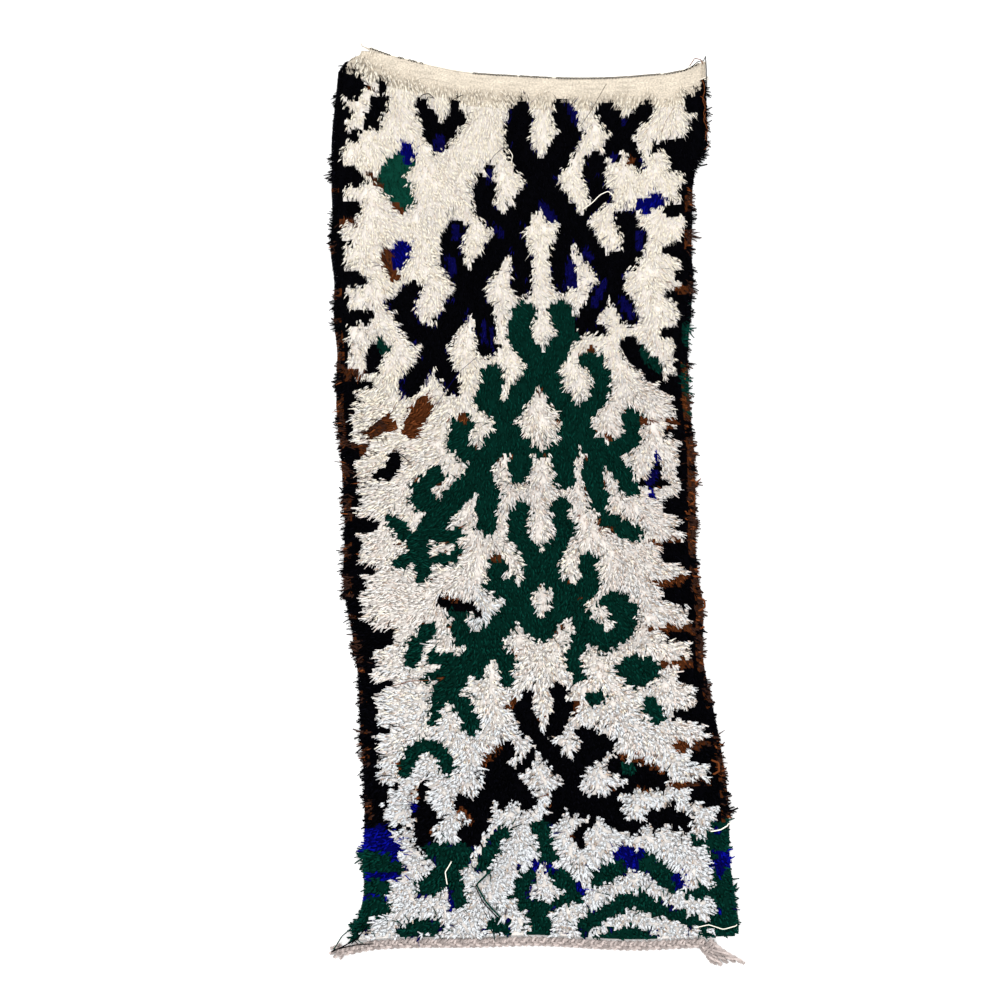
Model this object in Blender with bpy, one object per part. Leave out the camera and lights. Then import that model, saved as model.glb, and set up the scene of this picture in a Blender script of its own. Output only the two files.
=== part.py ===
"""Hand-knotted berber rug with a long shag pile, lying flat on the floor.

Units are metres, +Z is up. The origin is on the floor, under the middle of the rug.
+Y points along the warp to the flat-woven heading, and the pile lies over towards -Y.
The rug is drawn as uneven as it was woven: wide at both ends, narrow in the middle.
"""
import math
import random
from collections import namedtuple

import bpy
import bmesh
import numpy as np
from mathutils import Vector

# Driving dimensions
GAP = 0.0003               # between pieces that touch
WELD = 0.00005             # points of one swept strip that are the same point
RUG_LENGTH = 2.17          # heading edge to plait, down the middle
HEADING_DEPTH = 0.058      # flat weave before the first row of knots
HEADING_THICK = 0.0045
PILE_CREST_TOP = 0.0185    # pile height over a row of knots, near the heading
PILE_CREST_END = 0.0245    # the same near the plait, where the yarn is thicker
PILE_DIP = 0.0075          # drop from a crest to the valley behind it
PILE_LUMP = 0.0042         # unevenness of single tufts, up and down
RIM_DROP = 0.0030          # the pile is lower along both sides
TUFT_ROWS = 54             # raised rows of tufts
TUFTS_ACROSS = 21
TUFT_LEAN = 0.72           # share of a row's pitch at which its crest lies
TUFT_STAGGER = 0.0065      # neighbours in a row lie this much above and below its line
TUFT_SHIFT = 0.0045        # a tuft's stray from its place

SELVEDGE_WIDTH = 0.0115
SELVEDGE_HEIGHT = 0.0072
WRAP_SWELL = 0.16          # how much a wrap stands proud of its neighbours
WALL_LEVEL = 0.0082        # the locks start above this, clear of the selvedge

LOCKS_START = 1.000        # the rim has locks between these two places along the warp
LOCKS_END = -1.045
LOCK_CHANCE = 0.86         # share of the rim's rows with a lock that stands out
LOCK_REACH = (0.0175, 0.0245)
LOCK_WIDTH = 0.0105
LOCK_DEPTH = 0.0062

PLAIT_WIDTH = 0.031
PLAIT_HEIGHT = 0.0135
PLAIT_PITCH = 0.0165       # one crossing of its strands
PLAIT_SWING = 0.0016
PLAIT_STOP = 0.398         # where the tassel takes over

EDGE_YARN = 0.0040         # dark yarn that is worked along the heading's edge
EDGE_YARN_PITCH = 0.0150

Section = namedtuple("Section", "along left right")
SECTIONS = [
    Section(1.128, -0.446, 0.416),
    Section(1.098, -0.466, 0.416),
    Section(1.066, -0.489, 0.417),
    Section(1.040, -0.492, 0.417),
    Section(0.991, -0.497, 0.419),
    Section(0.918, -0.505, 0.420),
    Section(0.868, -0.507, 0.417),
    Section(0.832, -0.506, 0.395),
    Section(0.783, -0.507, 0.385),
    Section(0.709, -0.505, 0.384),
    Section(0.624, -0.509, 0.382),
    Section(0.550, -0.500, 0.386),
    Section(0.452, -0.501, 0.378),
    Section(0.378, -0.493, 0.373),
    Section(0.293, -0.495, 0.375),
    Section(0.219, -0.494, 0.380),
    Section(0.146, -0.485, 0.387),
    Section(0.060, -0.480, 0.391),
    Section(-0.014, -0.475, 0.392),
    Section(-0.099, -0.475, 0.392),
    Section(-0.173, -0.478, 0.397),
    Section(-0.246, -0.470, 0.411),
    Section(-0.307, -0.458, 0.410),
    Section(-0.381, -0.446, 0.411),
    Section(-0.479, -0.438, 0.431),
    Section(-0.577, -0.436, 0.450),
    Section(-0.687, -0.426, 0.468),
    Section(-0.773, -0.426, 0.474),
    Section(-0.871, -0.429, 0.476),
    Section(-0.969, -0.430, 0.490),
    Section(-1.030, -0.449, 0.498),
    Section(-1.074, -0.474, 0.497),
]

EdgePoint = namedtuple("EdgePoint", "across along")
HEADING_EDGE = [
    EdgePoint(-0.434, 1.128),
    EdgePoint(-0.400, 1.114),
    EdgePoint(-0.316, 1.090),
    EdgePoint(-0.162, 1.058),
    EdgePoint(-0.059, 1.051),
    EdgePoint(0.152, 1.045),
    EdgePoint(0.267, 1.052),
    EdgePoint(0.370, 1.067),
    EdgePoint(0.416, 1.090),
]
PLAIT_EDGE = [
    EdgePoint(-0.478, -1.104),
    EdgePoint(-0.363, -1.094),
    EdgePoint(-0.145, -1.091),
    EdgePoint(-0.017, -1.087),
    EdgePoint(0.247, -1.098),
    EdgePoint(0.414, -1.091),
    EdgePoint(0.497, -1.090),
]

Spur = namedtuple("Spur", "side along reach")
SPURS = [
    Spur("left", 0.521, 0.034),
    Spur("left", -0.700, 0.036),
    Spur("left", -0.818, 0.030),
    Spur("right", 0.640, 0.031),
    Spur("right", -0.245, 0.034),
    Spur("right", -0.750, 0.030),
]

Strand = namedtuple("Strand", "length turn bend")
TASSEL_STRANDS = [
    Strand(0.026, -14, -10),
    Strand(0.036, -8, 14),
    Strand(0.046, 0, 20),
    Strand(0.047, 10, 22),
    Strand(0.043, 20, 26),
    Strand(0.066, 34, 28),
    Strand(0.068, 46, 20),
    Strand(0.034, 58, 20),
]
CORNER_STRANDS = [
    Strand(0.022, -14, -10),
    Strand(0.031, -5, -6),
    Strand(0.027, 6, 6),
    Strand(0.018, 20, 20),
]

# Middle of the strip that holds each bunch of yarn ends, on the floor
TASSEL_MIDDLE = (0.446, -1.0725, 0.0)
CORNER_MIDDLE = (-0.4785, -1.0905, 0.0)

CREAM = (0.74, 0.68, 0.58)
DARK_YARN = (0.012, 0.011, 0.014)
BROWN_YARN = (0.115, 0.045, 0.022)
PALE_YARN = (0.62, 0.54, 0.48)


def smooth_value(rows, key, column, at):
    """Value at a place, on a smooth curve through one column of a table."""
    ordered = sorted(rows, key=lambda row: getattr(row, key))
    places = np.array([getattr(row, key) for row in ordered])
    values = np.array([getattr(row, column) for row in ordered])
    slopes = np.gradient(values, places)
    at = min(max(at, places[0]), places[-1])
    i = min(int(np.searchsorted(places, at, side="right")) - 1, len(places) - 2)
    step = places[i + 1] - places[i]
    t = (at - places[i]) / step
    rise = values[i] * (2 * t**3 - 3 * t**2 + 1) + values[i + 1] * (3 * t**2 - 2 * t**3)
    lean = slopes[i] * (t**3 - 2 * t**2 + t) + slopes[i + 1] * (t**3 - t**2)
    return float(rise + lean * step)


def rug_edge(side, along):
    """Outer edge of the selvedge."""
    return smooth_value(SECTIONS, "along", side, along)


def cloth_side(side, along):
    """Edge of the knotted cloth, just inside the selvedge."""
    inward = 1 if side == "left" else -1
    return rug_edge(side, along) + inward * (SELVEDGE_WIDTH + GAP)


def heading_line(across):
    return smooth_value(HEADING_EDGE, "across", "along", across)


def cloth_end(across):
    """Last row of knots, where the plait begins."""
    return smooth_value(PLAIT_EDGE, "across", "along", across) + PLAIT_WIDTH + GAP


def material(name, colour, roughness):
    made = bpy.data.materials.new(name)
    made.use_nodes = True
    shader = made.node_tree.nodes["Principled BSDF"]
    shader.inputs["Base Color"].default_value = (*colour, 1.0)
    shader.inputs["Roughness"].default_value = roughness
    shader.inputs["Metallic"].default_value = 0.0
    return made


def object_from(bm, name, finish, collection):
    bmesh.ops.recalc_face_normals(bm, faces=bm.faces)
    mesh = bpy.data.meshes.new(name)
    bm.to_mesh(mesh)
    bm.free()
    mesh.materials.append(finish)
    made = bpy.data.objects.new(name, mesh)
    collection.objects.link(made)
    return made


# The lines across the cloth: the heading, then a valley and a crest for each row of tufts
Line = namedtuple("Line", "share kind")


def cloth_lines():
    lines = [Line(0.0, "heading"), Line(0.5 * HEADING_DEPTH / RUG_LENGTH, "heading")]
    start = HEADING_DEPTH / RUG_LENGTH
    lines.append(Line(start, "heading"))
    pitch = (1.0 - start) / TUFT_ROWS
    for row in range(TUFT_ROWS):
        if row > 0:
            lines.append(Line(start + row * pitch, "valley"))
        lines.append(Line(start + (row + TUFT_LEAN) * pitch, "crest"))
    lines.append(Line(1.0, "end"))
    return lines


def cloth_place(across_share, along_share):
    """Place on the floor of a point of the cloth, from its shares across and along."""
    middle_top = heading_line(0.0)
    middle_end = cloth_end(0.0)
    along = middle_top + (middle_end - middle_top) * along_share
    for _ in range(3):
        left = cloth_side("left", along)
        right = cloth_side("right", along)
        across = left + (right - left) * across_share
        top_bow = (heading_line(across) - middle_top) * (1.0 - along_share) ** 5
        end_bow = (cloth_end(across) - middle_end) * along_share ** 5
        along = middle_top + (middle_end - middle_top) * along_share + top_bow + end_bow
    return across, along


def pile_height(kind, along_share, rim, rng):
    if kind == "heading":
        return HEADING_THICK
    crest = PILE_CREST_TOP + (PILE_CREST_END - PILE_CREST_TOP) * along_share
    lump = rng.uniform(-PILE_LUMP, PILE_LUMP)
    height = crest + lump
    if kind == "valley":
        height -= PILE_DIP
    if kind == "end":
        height -= 1.5 * PILE_DIP
    if rim:
        height = max(height - RIM_DROP, WALL_LEVEL + 0.6 * LOCK_DEPTH)
    return height


def grow_lock(bm, face, direction, sections):
    """Draw a rim face out into a lock, through sections of (out, turn, level, width, depth)."""
    base = face.calc_center_median()
    place = Vector((base.x, base.y, 0.0))
    reached = 0.0
    for out, turn, level, width, depth in sections:
        heading = Vector((direction.x, direction.y, 0.0)).normalized()
        angle = math.atan2(heading.y, heading.x) + math.radians(turn)
        heading = Vector((math.cos(angle), math.sin(angle), 0.0))
        place = place + heading * (out - reached)
        reached = out
        side = Vector((-heading.y, heading.x, 0.0))
        middle = face.calc_center_median()
        face = bmesh.ops.extrude_discrete_faces(bm, faces=[face])["faces"][0]
        for vert in face.verts:
            offset = vert.co - middle
            across = 0.5 * width if offset.dot(side) > 0 else -0.5 * width
            up = 0.5 * depth if offset.z > 0 else -0.5 * depth
            vert.co = place + side * across + Vector((0.0, 0.0, level + up))


def lock_sections(reach, turn, rng):
    root = WALL_LEVEL + 0.5 * LOCK_DEPTH + 0.0012
    droop = rng.uniform(0.25, 0.75)
    tip_level = root * (1.0 - droop)
    over = SELVEDGE_WIDTH + 0.0020
    tip = max(reach, over + 0.004)
    return [
        (over, 0.5 * turn, root, LOCK_WIDTH * rng.uniform(0.75, 1.0), LOCK_DEPTH),
        (tip, turn, max(tip_level, 0.0030), 0.0035, 0.0026),
    ]


def grow_rim_locks(bm, rim_faces, rng):
    """Tufts of the outermost knots lie out over both selvedges."""
    rooted = {"left": [], "right": []}
    for face in sorted(rim_faces, key=lambda f: -f.calc_center_median().y):
        if abs(face.normal.x) > 0.7 and LOCKS_END < face.calc_center_median().y < LOCKS_START:
            rooted["right" if face.normal.x > 0 else "left"].append(face)
    for side, here in rooted.items():
        outward = -1 if side == "left" else 1
        spurs = [spur for spur in SPURS if spur.side == side]
        for face in here[1::2]:
            middle = face.calc_center_median()
            near = [spur for spur in spurs if abs(spur.along - middle.y) < 0.019]
            if not near and rng.random() > LOCK_CHANCE:
                continue
            reach = near[0].reach if near else rng.uniform(*LOCK_REACH)
            turn = outward * rng.uniform(-38, 6)
            grow_lock(bm, face, Vector((outward, 0.0, 0.0)), lock_sections(reach, turn, rng))


def rug_cloth(finish, collection):
    """Heading, ground and pile in one piece: they are woven together."""
    rng = random.Random(11)
    lines = cloth_lines()
    bm = bmesh.new()
    on_rim = bm.faces.layers.int.new("rim")
    last = len(lines) - 1
    bmesh.ops.create_grid(bm, x_segments=TUFTS_ACROSS, y_segments=last, size=0.5)
    ordered = sorted(bm.verts, key=lambda v: (-round(v.co.y * last), round(v.co.x * TUFTS_ACROSS)))
    for vert in ordered:
        across_step = round((vert.co.x + 0.5) * TUFTS_ACROSS)
        line = lines[round((0.5 - vert.co.y) * last)]
        rim = across_step in (0, TUFTS_ACROSS)
        across, along = cloth_place(across_step / TUFTS_ACROSS, line.share)
        if line.kind in ("valley", "crest") and not rim:
            across += rng.uniform(-TUFT_SHIFT, TUFT_SHIFT)
            along += rng.uniform(-TUFT_SHIFT, TUFT_SHIFT)
            along += TUFT_STAGGER if across_step % 2 else -TUFT_STAGGER
        vert.co = Vector((across, along, pile_height(line.kind, line.share, rim, rng)))

    def drop_rim(edges, level):
        made = bmesh.ops.extrude_edge_only(bm, edges=edges)["geom"]
        for vert in [item for item in made if isinstance(item, bmesh.types.BMVert)]:
            vert.co.z = level(vert.co.z)
        faces = [item for item in made if isinstance(item, bmesh.types.BMFace)]
        new_edges = [item for item in made if isinstance(item, bmesh.types.BMEdge)]
        return faces, [edge for edge in new_edges if edge.is_boundary]

    rim_edges = [edge for edge in bm.edges if edge.is_boundary]
    upper, rim_edges = drop_rim(rim_edges, lambda z: min(WALL_LEVEL, 0.5 * z))
    for face in upper:
        face[on_rim] = 1
    lower, rim_edges = drop_rim(rim_edges, lambda z: 0.0)
    for face in lower:
        face[on_rim] = 0
    underside = bmesh.ops.edgeloop_fill(bm, edges=rim_edges)["faces"]
    bmesh.ops.triangulate(bm, faces=underside)
    bmesh.ops.recalc_face_normals(bm, faces=bm.faces)
    grow_rim_locks(bm, [face for face in bm.faces if face[on_rim]], rng)
    return object_from(bm, "rug_cloth", finish, collection)


def half_round(name, width, height, steps, collection):
    """Profile of a strip that lies on the floor: flat below, rounded above."""
    profile = bpy.data.curves.new(name, "CURVE")
    profile.dimensions = "2D"
    spline = profile.splines.new("POLY")
    spline.points.add(steps + 1)
    spline.use_cyclic_u = True
    for i in range(steps + 2):
        angle = math.pi * min(max(i - 0.5, 0.0), steps) / steps
        across = 0.5 * width * math.cos(angle)
        up = height * math.sin(angle) if 0 < i < steps + 1 else 0.0
        spline.points[i].co = (across, up, 0.0, 1.0)
    guide = bpy.data.objects.new(name, profile)
    guide.hide_render = True
    guide.display_type = "WIRE"
    collection.objects.link(guide)
    return guide


def strip(name, points, swells, profile, finish, collection):
    """A strip along a route on the floor, its profile swelled at each point."""
    curve = bpy.data.curves.new(name, "CURVE")
    curve.dimensions = "3D"
    curve.twist_mode = "Z_UP"
    curve.bevel_mode = "OBJECT"
    curve.bevel_object = profile
    curve.use_fill_caps = True
    spline = curve.splines.new("POLY")
    spline.points.add(len(points) - 1)
    for point, (across, along), swell in zip(spline.points, points, swells):
        point.co = (across, along, 0.0, 1.0)
        point.radius = swell
    route = bpy.data.objects.new(name + "_route", curve)
    collection.objects.link(route)
    drawn = route.evaluated_get(bpy.context.evaluated_depsgraph_get())
    swept = bpy.data.meshes.new_from_object(drawn)
    bpy.data.objects.remove(route, do_unlink=True)
    bm = bmesh.new()
    bm.from_mesh(swept)
    bpy.data.meshes.remove(swept)
    bmesh.ops.remove_doubles(bm, verts=bm.verts, dist=WELD)
    return object_from(bm, name, finish, collection)


def selvedge(side, profile, finish, collection):
    """Overcast edge: yarn wrapped round the outermost warps."""
    outward = -1 if side == "left" else 1
    rng = random.Random(side)
    points = []
    swells = []
    across_share = 0.0 if side == "left" else 1.0
    rim = [Vector(cloth_place(across_share, line.share)) for line in cloth_lines()]
    for i in range(1, len(rim) - 1):
        downward = (rim[i + 1] - rim[i - 1]).normalized()
        away = Vector((-outward * downward.y, outward * downward.x))
        swell = 1.0 - WRAP_SWELL * (i % 2) - rng.uniform(0.0, 0.06)
        middle = rim[i] + away * (2 * GAP + 0.5 * SELVEDGE_WIDTH * swell)
        points.append((middle.x, middle.y))
        swells.append(swell)
    return strip("selvedge_" + side, points, swells, profile, finish, collection)


def end_plait(profile, finish, collection):
    """The warp ends, plaited sideways along the last row of knots."""
    end_points = [cloth_place(i / TUFTS_ACROSS, 1.0) for i in range(TUFTS_ACROSS + 1)]
    acrosses = [across for across, along in end_points]
    alongs = [along for across, along in end_points]
    start = acrosses[0] - 0.004
    stop = PLAIT_STOP
    crossings = round((stop - start) / PLAIT_PITCH)
    points = []
    swells = []
    for i in range(crossings + 1):
        across = start + (stop - start) * i / crossings
        swell = 1.0 - 0.12 * (i % 2)
        if i in (0, crossings):
            swell = 0.7
        inner = np.interp(across, acrosses, alongs) - GAP - 0.5 * PLAIT_WIDTH * swell
        swing = PLAIT_SWING * (1 + math.cos(math.pi * i / 2)) / 2
        points.append((across, float(inner) - swing))
        swells.append(swell)
    return strip("end_plait", points, swells, profile, finish, collection)


def heading_yarn(profile, finish, collection):
    """Dark yarn worked over and over along the heading's raw edge."""
    edge_points = [cloth_place(i / TUFTS_ACROSS, 0.0) for i in range(TUFTS_ACROSS + 1)]
    acrosses = [across for across, along in edge_points]
    alongs = [along for across, along in edge_points]
    start = -0.412
    stop = acrosses[-1] - 0.004
    stitches = round((stop - start) / EDGE_YARN_PITCH)
    points = []
    swells = []
    for i in range(stitches + 1):
        across = start + (stop - start) * i / stitches
        swell = 1.0 - 0.25 * (i % 2)
        along = float(np.interp(across, acrosses, alongs)) + GAP + 0.62 * EDGE_YARN * swell
        points.append((across, along))
        swells.append(swell)
    return strip("heading_yarn", points, swells, profile, finish, collection)


def strand_fan(name, middle, facing, pitch, height, strands, finish, collection):
    """Yarn ends lying on the floor, held together at their roots by a short strip."""
    strand_width = 0.72 * pitch
    depth = 0.010
    cells = 2 * len(strands) - 1
    length = pitch * len(strands) - (pitch - strand_width)
    out = Vector((math.cos(math.radians(facing)), math.sin(math.radians(facing)), 0.0))
    side = Vector((-out.y, out.x, 0.0))
    bm = bmesh.new()
    bmesh.ops.create_grid(bm, x_segments=cells, y_segments=1, size=0.5)
    for vert in bm.verts:
        step = round((vert.co.x + 0.5) * cells)
        along_strip = (step // 2) * pitch + (step % 2) * strand_width - 0.5 * length
        forward = 0.5 * depth if vert.co.y > 0 else -0.5 * depth
        vert.co = Vector(middle) + side * along_strip + out * forward + Vector((0.0, 0.0, height))
    made = bmesh.ops.extrude_face_region(bm, geom=list(bm.faces))["geom"]
    for vert in [item for item in made if isinstance(item, bmesh.types.BMVert)]:
        vert.co.z = 0.0
    bmesh.ops.recalc_face_normals(bm, faces=bm.faces)
    fronts = [f for f in bm.faces if f.normal.dot(out) > 0.7]
    fronts.sort(key=lambda f: f.calc_center_median().dot(side))
    for face, strand in zip(fronts[::2], strands):
        sections = []
        steps = 4
        for step in range(1, steps + 1):
            share = step / steps
            thin = 1.0 if step < steps else 0.45
            tall = height * (0.9 if step < steps else 0.5)
            turn = strand.turn * min(1.0, share * 1.4) + strand.bend * share ** 2
            sections.append((strand.length * share, turn, 0.5 * tall, strand_width * thin, tall))
        grow_lock(bm, face, out, sections)
    return object_from(bm, name, finish, collection)


def clear_scene():
    for old in list(bpy.data.objects):
        bpy.data.objects.remove(old, do_unlink=True)


def build_rug():
    clear_scene()
    rug = bpy.data.collections.new("berber_rug")
    guides = bpy.data.collections.new("profiles")
    bpy.context.scene.collection.children.link(rug)
    bpy.context.scene.collection.children.link(guides)
    cream = material("cream_wool", CREAM, 0.95)
    dark = material("dark_wool", DARK_YARN, 0.9)
    brown = material("brown_wool", BROWN_YARN, 0.9)
    pale = material("pale_warp", PALE_YARN, 0.9)
    selvedge_form = half_round("selvedge_profile", SELVEDGE_WIDTH, SELVEDGE_HEIGHT, 4, guides)
    plait_form = half_round("plait_profile", PLAIT_WIDTH, PLAIT_HEIGHT, 5, guides)
    yarn_form = half_round("yarn_profile", EDGE_YARN, EDGE_YARN, 4, guides)
    rug_cloth(cream, rug)
    for side in ("left", "right"):
        selvedge(side, selvedge_form, brown, rug)
    heading_yarn(yarn_form, dark, rug)
    end_plait(plait_form, pale, rug)
    strand_fan("end_tassel", TASSEL_MIDDLE, -90, 0.0105, 0.0075, TASSEL_STRANDS, pale, rug)
    strand_fan("corner_strands", CORNER_MIDDLE, 214, 0.0075, 0.0070, CORNER_STRANDS, pale, rug)


build_rug()
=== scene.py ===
import math
from collections import namedtuple

import bpy
import numpy as np
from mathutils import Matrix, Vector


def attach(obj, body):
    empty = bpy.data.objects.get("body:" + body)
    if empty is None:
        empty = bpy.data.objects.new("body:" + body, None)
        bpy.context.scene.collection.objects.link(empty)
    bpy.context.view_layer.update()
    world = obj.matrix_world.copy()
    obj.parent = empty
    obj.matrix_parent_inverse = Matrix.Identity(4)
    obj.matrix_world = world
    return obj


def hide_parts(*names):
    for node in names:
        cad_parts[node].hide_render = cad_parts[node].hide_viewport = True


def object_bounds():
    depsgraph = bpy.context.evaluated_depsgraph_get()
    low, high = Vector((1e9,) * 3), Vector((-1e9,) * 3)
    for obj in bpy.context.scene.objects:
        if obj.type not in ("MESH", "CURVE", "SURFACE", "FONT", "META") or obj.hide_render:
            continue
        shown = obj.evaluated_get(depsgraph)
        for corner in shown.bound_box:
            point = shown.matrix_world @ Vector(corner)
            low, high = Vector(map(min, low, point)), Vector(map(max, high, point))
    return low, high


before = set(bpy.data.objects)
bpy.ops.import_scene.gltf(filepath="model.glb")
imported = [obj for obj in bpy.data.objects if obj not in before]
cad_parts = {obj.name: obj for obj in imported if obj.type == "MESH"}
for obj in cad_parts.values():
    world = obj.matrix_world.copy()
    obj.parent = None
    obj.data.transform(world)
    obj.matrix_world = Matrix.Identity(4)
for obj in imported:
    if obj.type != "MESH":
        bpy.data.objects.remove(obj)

cad_low, cad_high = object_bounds()
rng = np.random.default_rng(7)

# Sizes in metres, in the frame of the CAD
CM = 0.01
HEADING_DEPTH = 0.058        # flat weave before the first row of knots
HEADING_THICK = 0.0040
BED_HEIGHT = 0.0070          # roots of the pile, packed close
PLAIT_REACH = 0.0155         # middle of the plait from the last row of knots
PLAIT_START = -0.492
PLAIT_STOP = 0.414
SELVEDGE_WIDTH = 0.0115
SELVEDGE_HEIGHT = 0.0072
GAP = 0.0003

# The outline of the cloth, read from its CAD solid
ground_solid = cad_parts["rug_cloth"]
solid_points = np.array([vert.co[:] for vert in ground_solid.data.vertices])
on_floor = solid_points[solid_points[:, 2] < 0.0001][:, :2]
top_left = on_floor[np.argmax(on_floor[:, 1] - on_floor[:, 0])]
top_right = on_floor[np.argmax(on_floor[:, 1] + on_floor[:, 0])]
end_left = on_floor[np.argmin(on_floor[:, 1] + on_floor[:, 0])]
end_right = on_floor[np.argmax(on_floor[:, 0] - on_floor[:, 1])]


def edge_points(chosen, corners, key):
    """One side of the outline, in order along the x or y axis."""
    side = np.vstack([on_floor[chosen], corners])
    return side[np.argsort(side[:, key])]


across, along = on_floor[:, 0], on_floor[:, 1]
left_side = edge_points((across < -0.40) & (along > -1.045) & (along < 1.125), [top_left, end_left], 1)
right_side = edge_points((across > 0.355) & (along > -1.045) & (along < 1.035), [top_right, end_right], 1)
top_side = edge_points((along > 1.03) & (across > -0.40) & (across < 0.39), [top_left, top_right], 0)
end_side = edge_points((along < -1.045) & (abs(across) < 0.41), [end_left, end_right], 0)


def left_at(y):
    return np.interp(y, left_side[:, 1], left_side[:, 0])


def right_at(y):
    return np.interp(y, right_side[:, 1], right_side[:, 0])


def top_at(x):
    return np.interp(x, top_side[:, 0], top_side[:, 1])


def end_at(x):
    return np.interp(x, end_side[:, 0], end_side[:, 1])


def heading_depth(x):
    """The flat weave narrows to almost nothing at its left corner."""
    return np.interp(x, [-0.46, -0.425, -0.37, 0.37, 0.41], [0.010, 0.016, 0.040, 0.043, 0.040])


# The pattern: hooked lozenges with toothed borders, charted in centimetres from the middle
Line = namedtuple("Line", "colour width points")

BLACK_LATTICE = [
    Line("black", 7.4, [(-3.8, 94.6), (-4.9, 92), (-4.6, 86.5), (0, 80)]),
    Line("black", 3.4, [(-3.4, 98.4), (-3.6, 95)]),
    Line("black", 7.4, [(6.6, 95.2), (8.2, 90.5), (4.6, 84), (1.2, 80)]),
    Line("black", 3.8, [(5.8, 98.8), (6.6, 95)]),
    Line("navy", 2.0, [(8.2, 97), (9.8, 93.6)]),
    Line("black", 7.4, [(1, 78.5), (-4.3, 71), (-12.3, 58.3), (-18.6, 49.2), (-24.5, 40)]),
    Line("black", 7.0, [(1.5, 78.5), (6.5, 71.5), (10, 67.5), (14.5, 60.5), (18.5, 55.5)]),
    Line("black", 6.0, [(17.6, 55.5), (13.6, 47.5), (11.5, 43.8)]),
    Line("black", 3.0, [(11, 43), (15.5, 42.5)]),
    Line("black", 5.6, [(18.5, 56), (20.5, 50), (22.8, 45.8)]),
    Line("black", 3.2, [(10.5, 69), (14, 73), (17.3, 75)]),
    Line("black", 6.0, [(15, 76), (13.5, 80.5), (14.4, 83.6)]),
    Line("black", 6.6, [(16.5, 58), (22.3, 60), (24.4, 64.5), (21.6, 69.5)]),
    Line("black", 6.2, [(-9, 68.5), (-13.2, 72.5), (-12.6, 77.8)]),
    Line("black", 2.8, [(-11.4, 82.4), (-11.8, 78)]),
    Line("black", 2.4, [(-14, 80), (-13.4, 77)]),
    Line("black", 6.4, [(-20, 67.2), (-21.2, 62.5), (-21, 58.5), (-16.4, 53), (-12.8, 46), (-12.4, 38.5)]),
    Line("black", 6.4, [(-30.6, 52), (-33.3, 48.5), (-31, 43), (-26, 40.6)]),
    Line("black", 3.0, [(-34, 49), (-36.3, 49)]),
    Line("black", 6.0, [(-25, 39), (-27.2, 34), (-31.5, 28.6)]),
    Line("black", 5.6, [(-25, 39), (-22.6, 33.4), (-20.7, 28.6)]),
    Line("navy", 2.6, [(1.6, 73), (3.4, 70)]),
    Line("black", 5.8, [(-6.2, 68), (-3.6, 60), (-3.9, 52.8)]),
    Line("black", 6.0, [(8.3, 69), (5.2, 60), (6.2, 54)]),
    Line("navy", 3.2, [(8.3, 58), (8.5, 54)]),
    Line("navy", 1.8, [(-11.5, 81.6), (-11.7, 79.4)]),
    Line("navy", 2.4, [(-21.6, 60), (-20.6, 57)]),
    Line("navy", 2.6, [(23, 46.5), (20.8, 49.5)]),
    Line("navy", 2.0, [(13, 60), (12, 62)]),
    Line("navy", 2.2, [(25.3, 66), (24.8, 63)]),
    Line("navy", 2.0, [(-9, 66), (-10, 67.5)]),
    Line("navy", 2.2, [(-19.6, 67.5), (-19.8, 65.5)]),
    Line("navy", 1.4, [(-12.9, 45), (-13, 40)]),
    Line("navy", 1.2, [(-11.2, 43), (-11.2, 39)]),
    Line("navy", 2.2, [(16.5, 54), (14, 49)]),
]
TOP_MARKS = [
    Line("black", 3.4, [(-28.2, 98.4), (-27.4, 94.5)]),
    Line("black", 5.4, [(-27, 95), (-25.8, 91.5), (-24.2, 88.6)]),
    Line("black", 3.0, [(-20.1, 98.4), (-20.2, 95.5)]),
    Line("black", 5.8, [(-19.6, 94.4), (-21.6, 92), (-24, 88.8)]),
    Line("black", 2.8, [(-20, 95), (-18.8, 94)]),
    Line("navy", 2.2, [(-23.9, 89.6), (-24.1, 87.2)]),
    Line("brown", 1.4, [(-41.8, 102.8), (-40.6, 101.4)]),
    Line("jade", 7.4, [(-33, 83.6), (-36, 80), (-33.2, 75.3)]),
    Line("blue", 3.6, [(-32.2, 87.6), (-31.2, 85)]),
    Line("navy", 2.4, [(-38.2, 97), (-39.6, 94)]),
    Line("brown", 1.6, [(-41.5, 81), (-38, 77.5)]),
    Line("brown", 2.0, [(-35, 73.3), (-33.5, 72)]),
    Line("blue", 5.4, [(-33, 62.5), (-34, 59.5)]),
    Line("brown", 3.2, [(-36.8, 61.5), (-36.5, 57.5), (-34.5, 55.8)]),
    Line("blue", 4.4, [(26, 73.3), (29.8, 74.5)]),
    Line("black", 6.2, [(16.6, 96.2), (19.6, 92.4)]),
    Line("black", 5.2, [(26.8, 96.4), (22.6, 92.8)]),
    Line("black", 5.8, [(20.6, 92), (20.2, 89.5)]),
    Line("black", 4.6, [(19.8, 90), (18.7, 85.6)]),
    Line("black", 2.0, [(18.5, 88.6), (16.4, 87.2)]),
    Line("black", 3.6, [(21.8, 91), (23.2, 86.8), (24.8, 83.2)]),
    Line("navy", 1.8, [(18.7, 85.4), (18.5, 84.2)]),
    Line("navy", 1.6, [(25.9, 84.2), (25.8, 82.8)]),
    Line("brown", 1.8, [(23, 84.6), (22.8, 83.8)]),
    Line("navy", 1.1, [(21.2, 94), (21.6, 93)]),
    Line("black", 7.0, [(-47, 106.5), (-45.4, 102)]),
    Line("black", 2.2, [(-38.4, 103.4), (-37.6, 99)]),
    Line("black", 5.4, [(-38.3, 98.2), (-40.3, 93.8)]),
    Line("black", 5.2, [(-38.5, 38.2), (-40.3, 34)]),
    Line("green", 2.6, [(-38.2, 40), (-37, 37.8)]),
]
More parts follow.
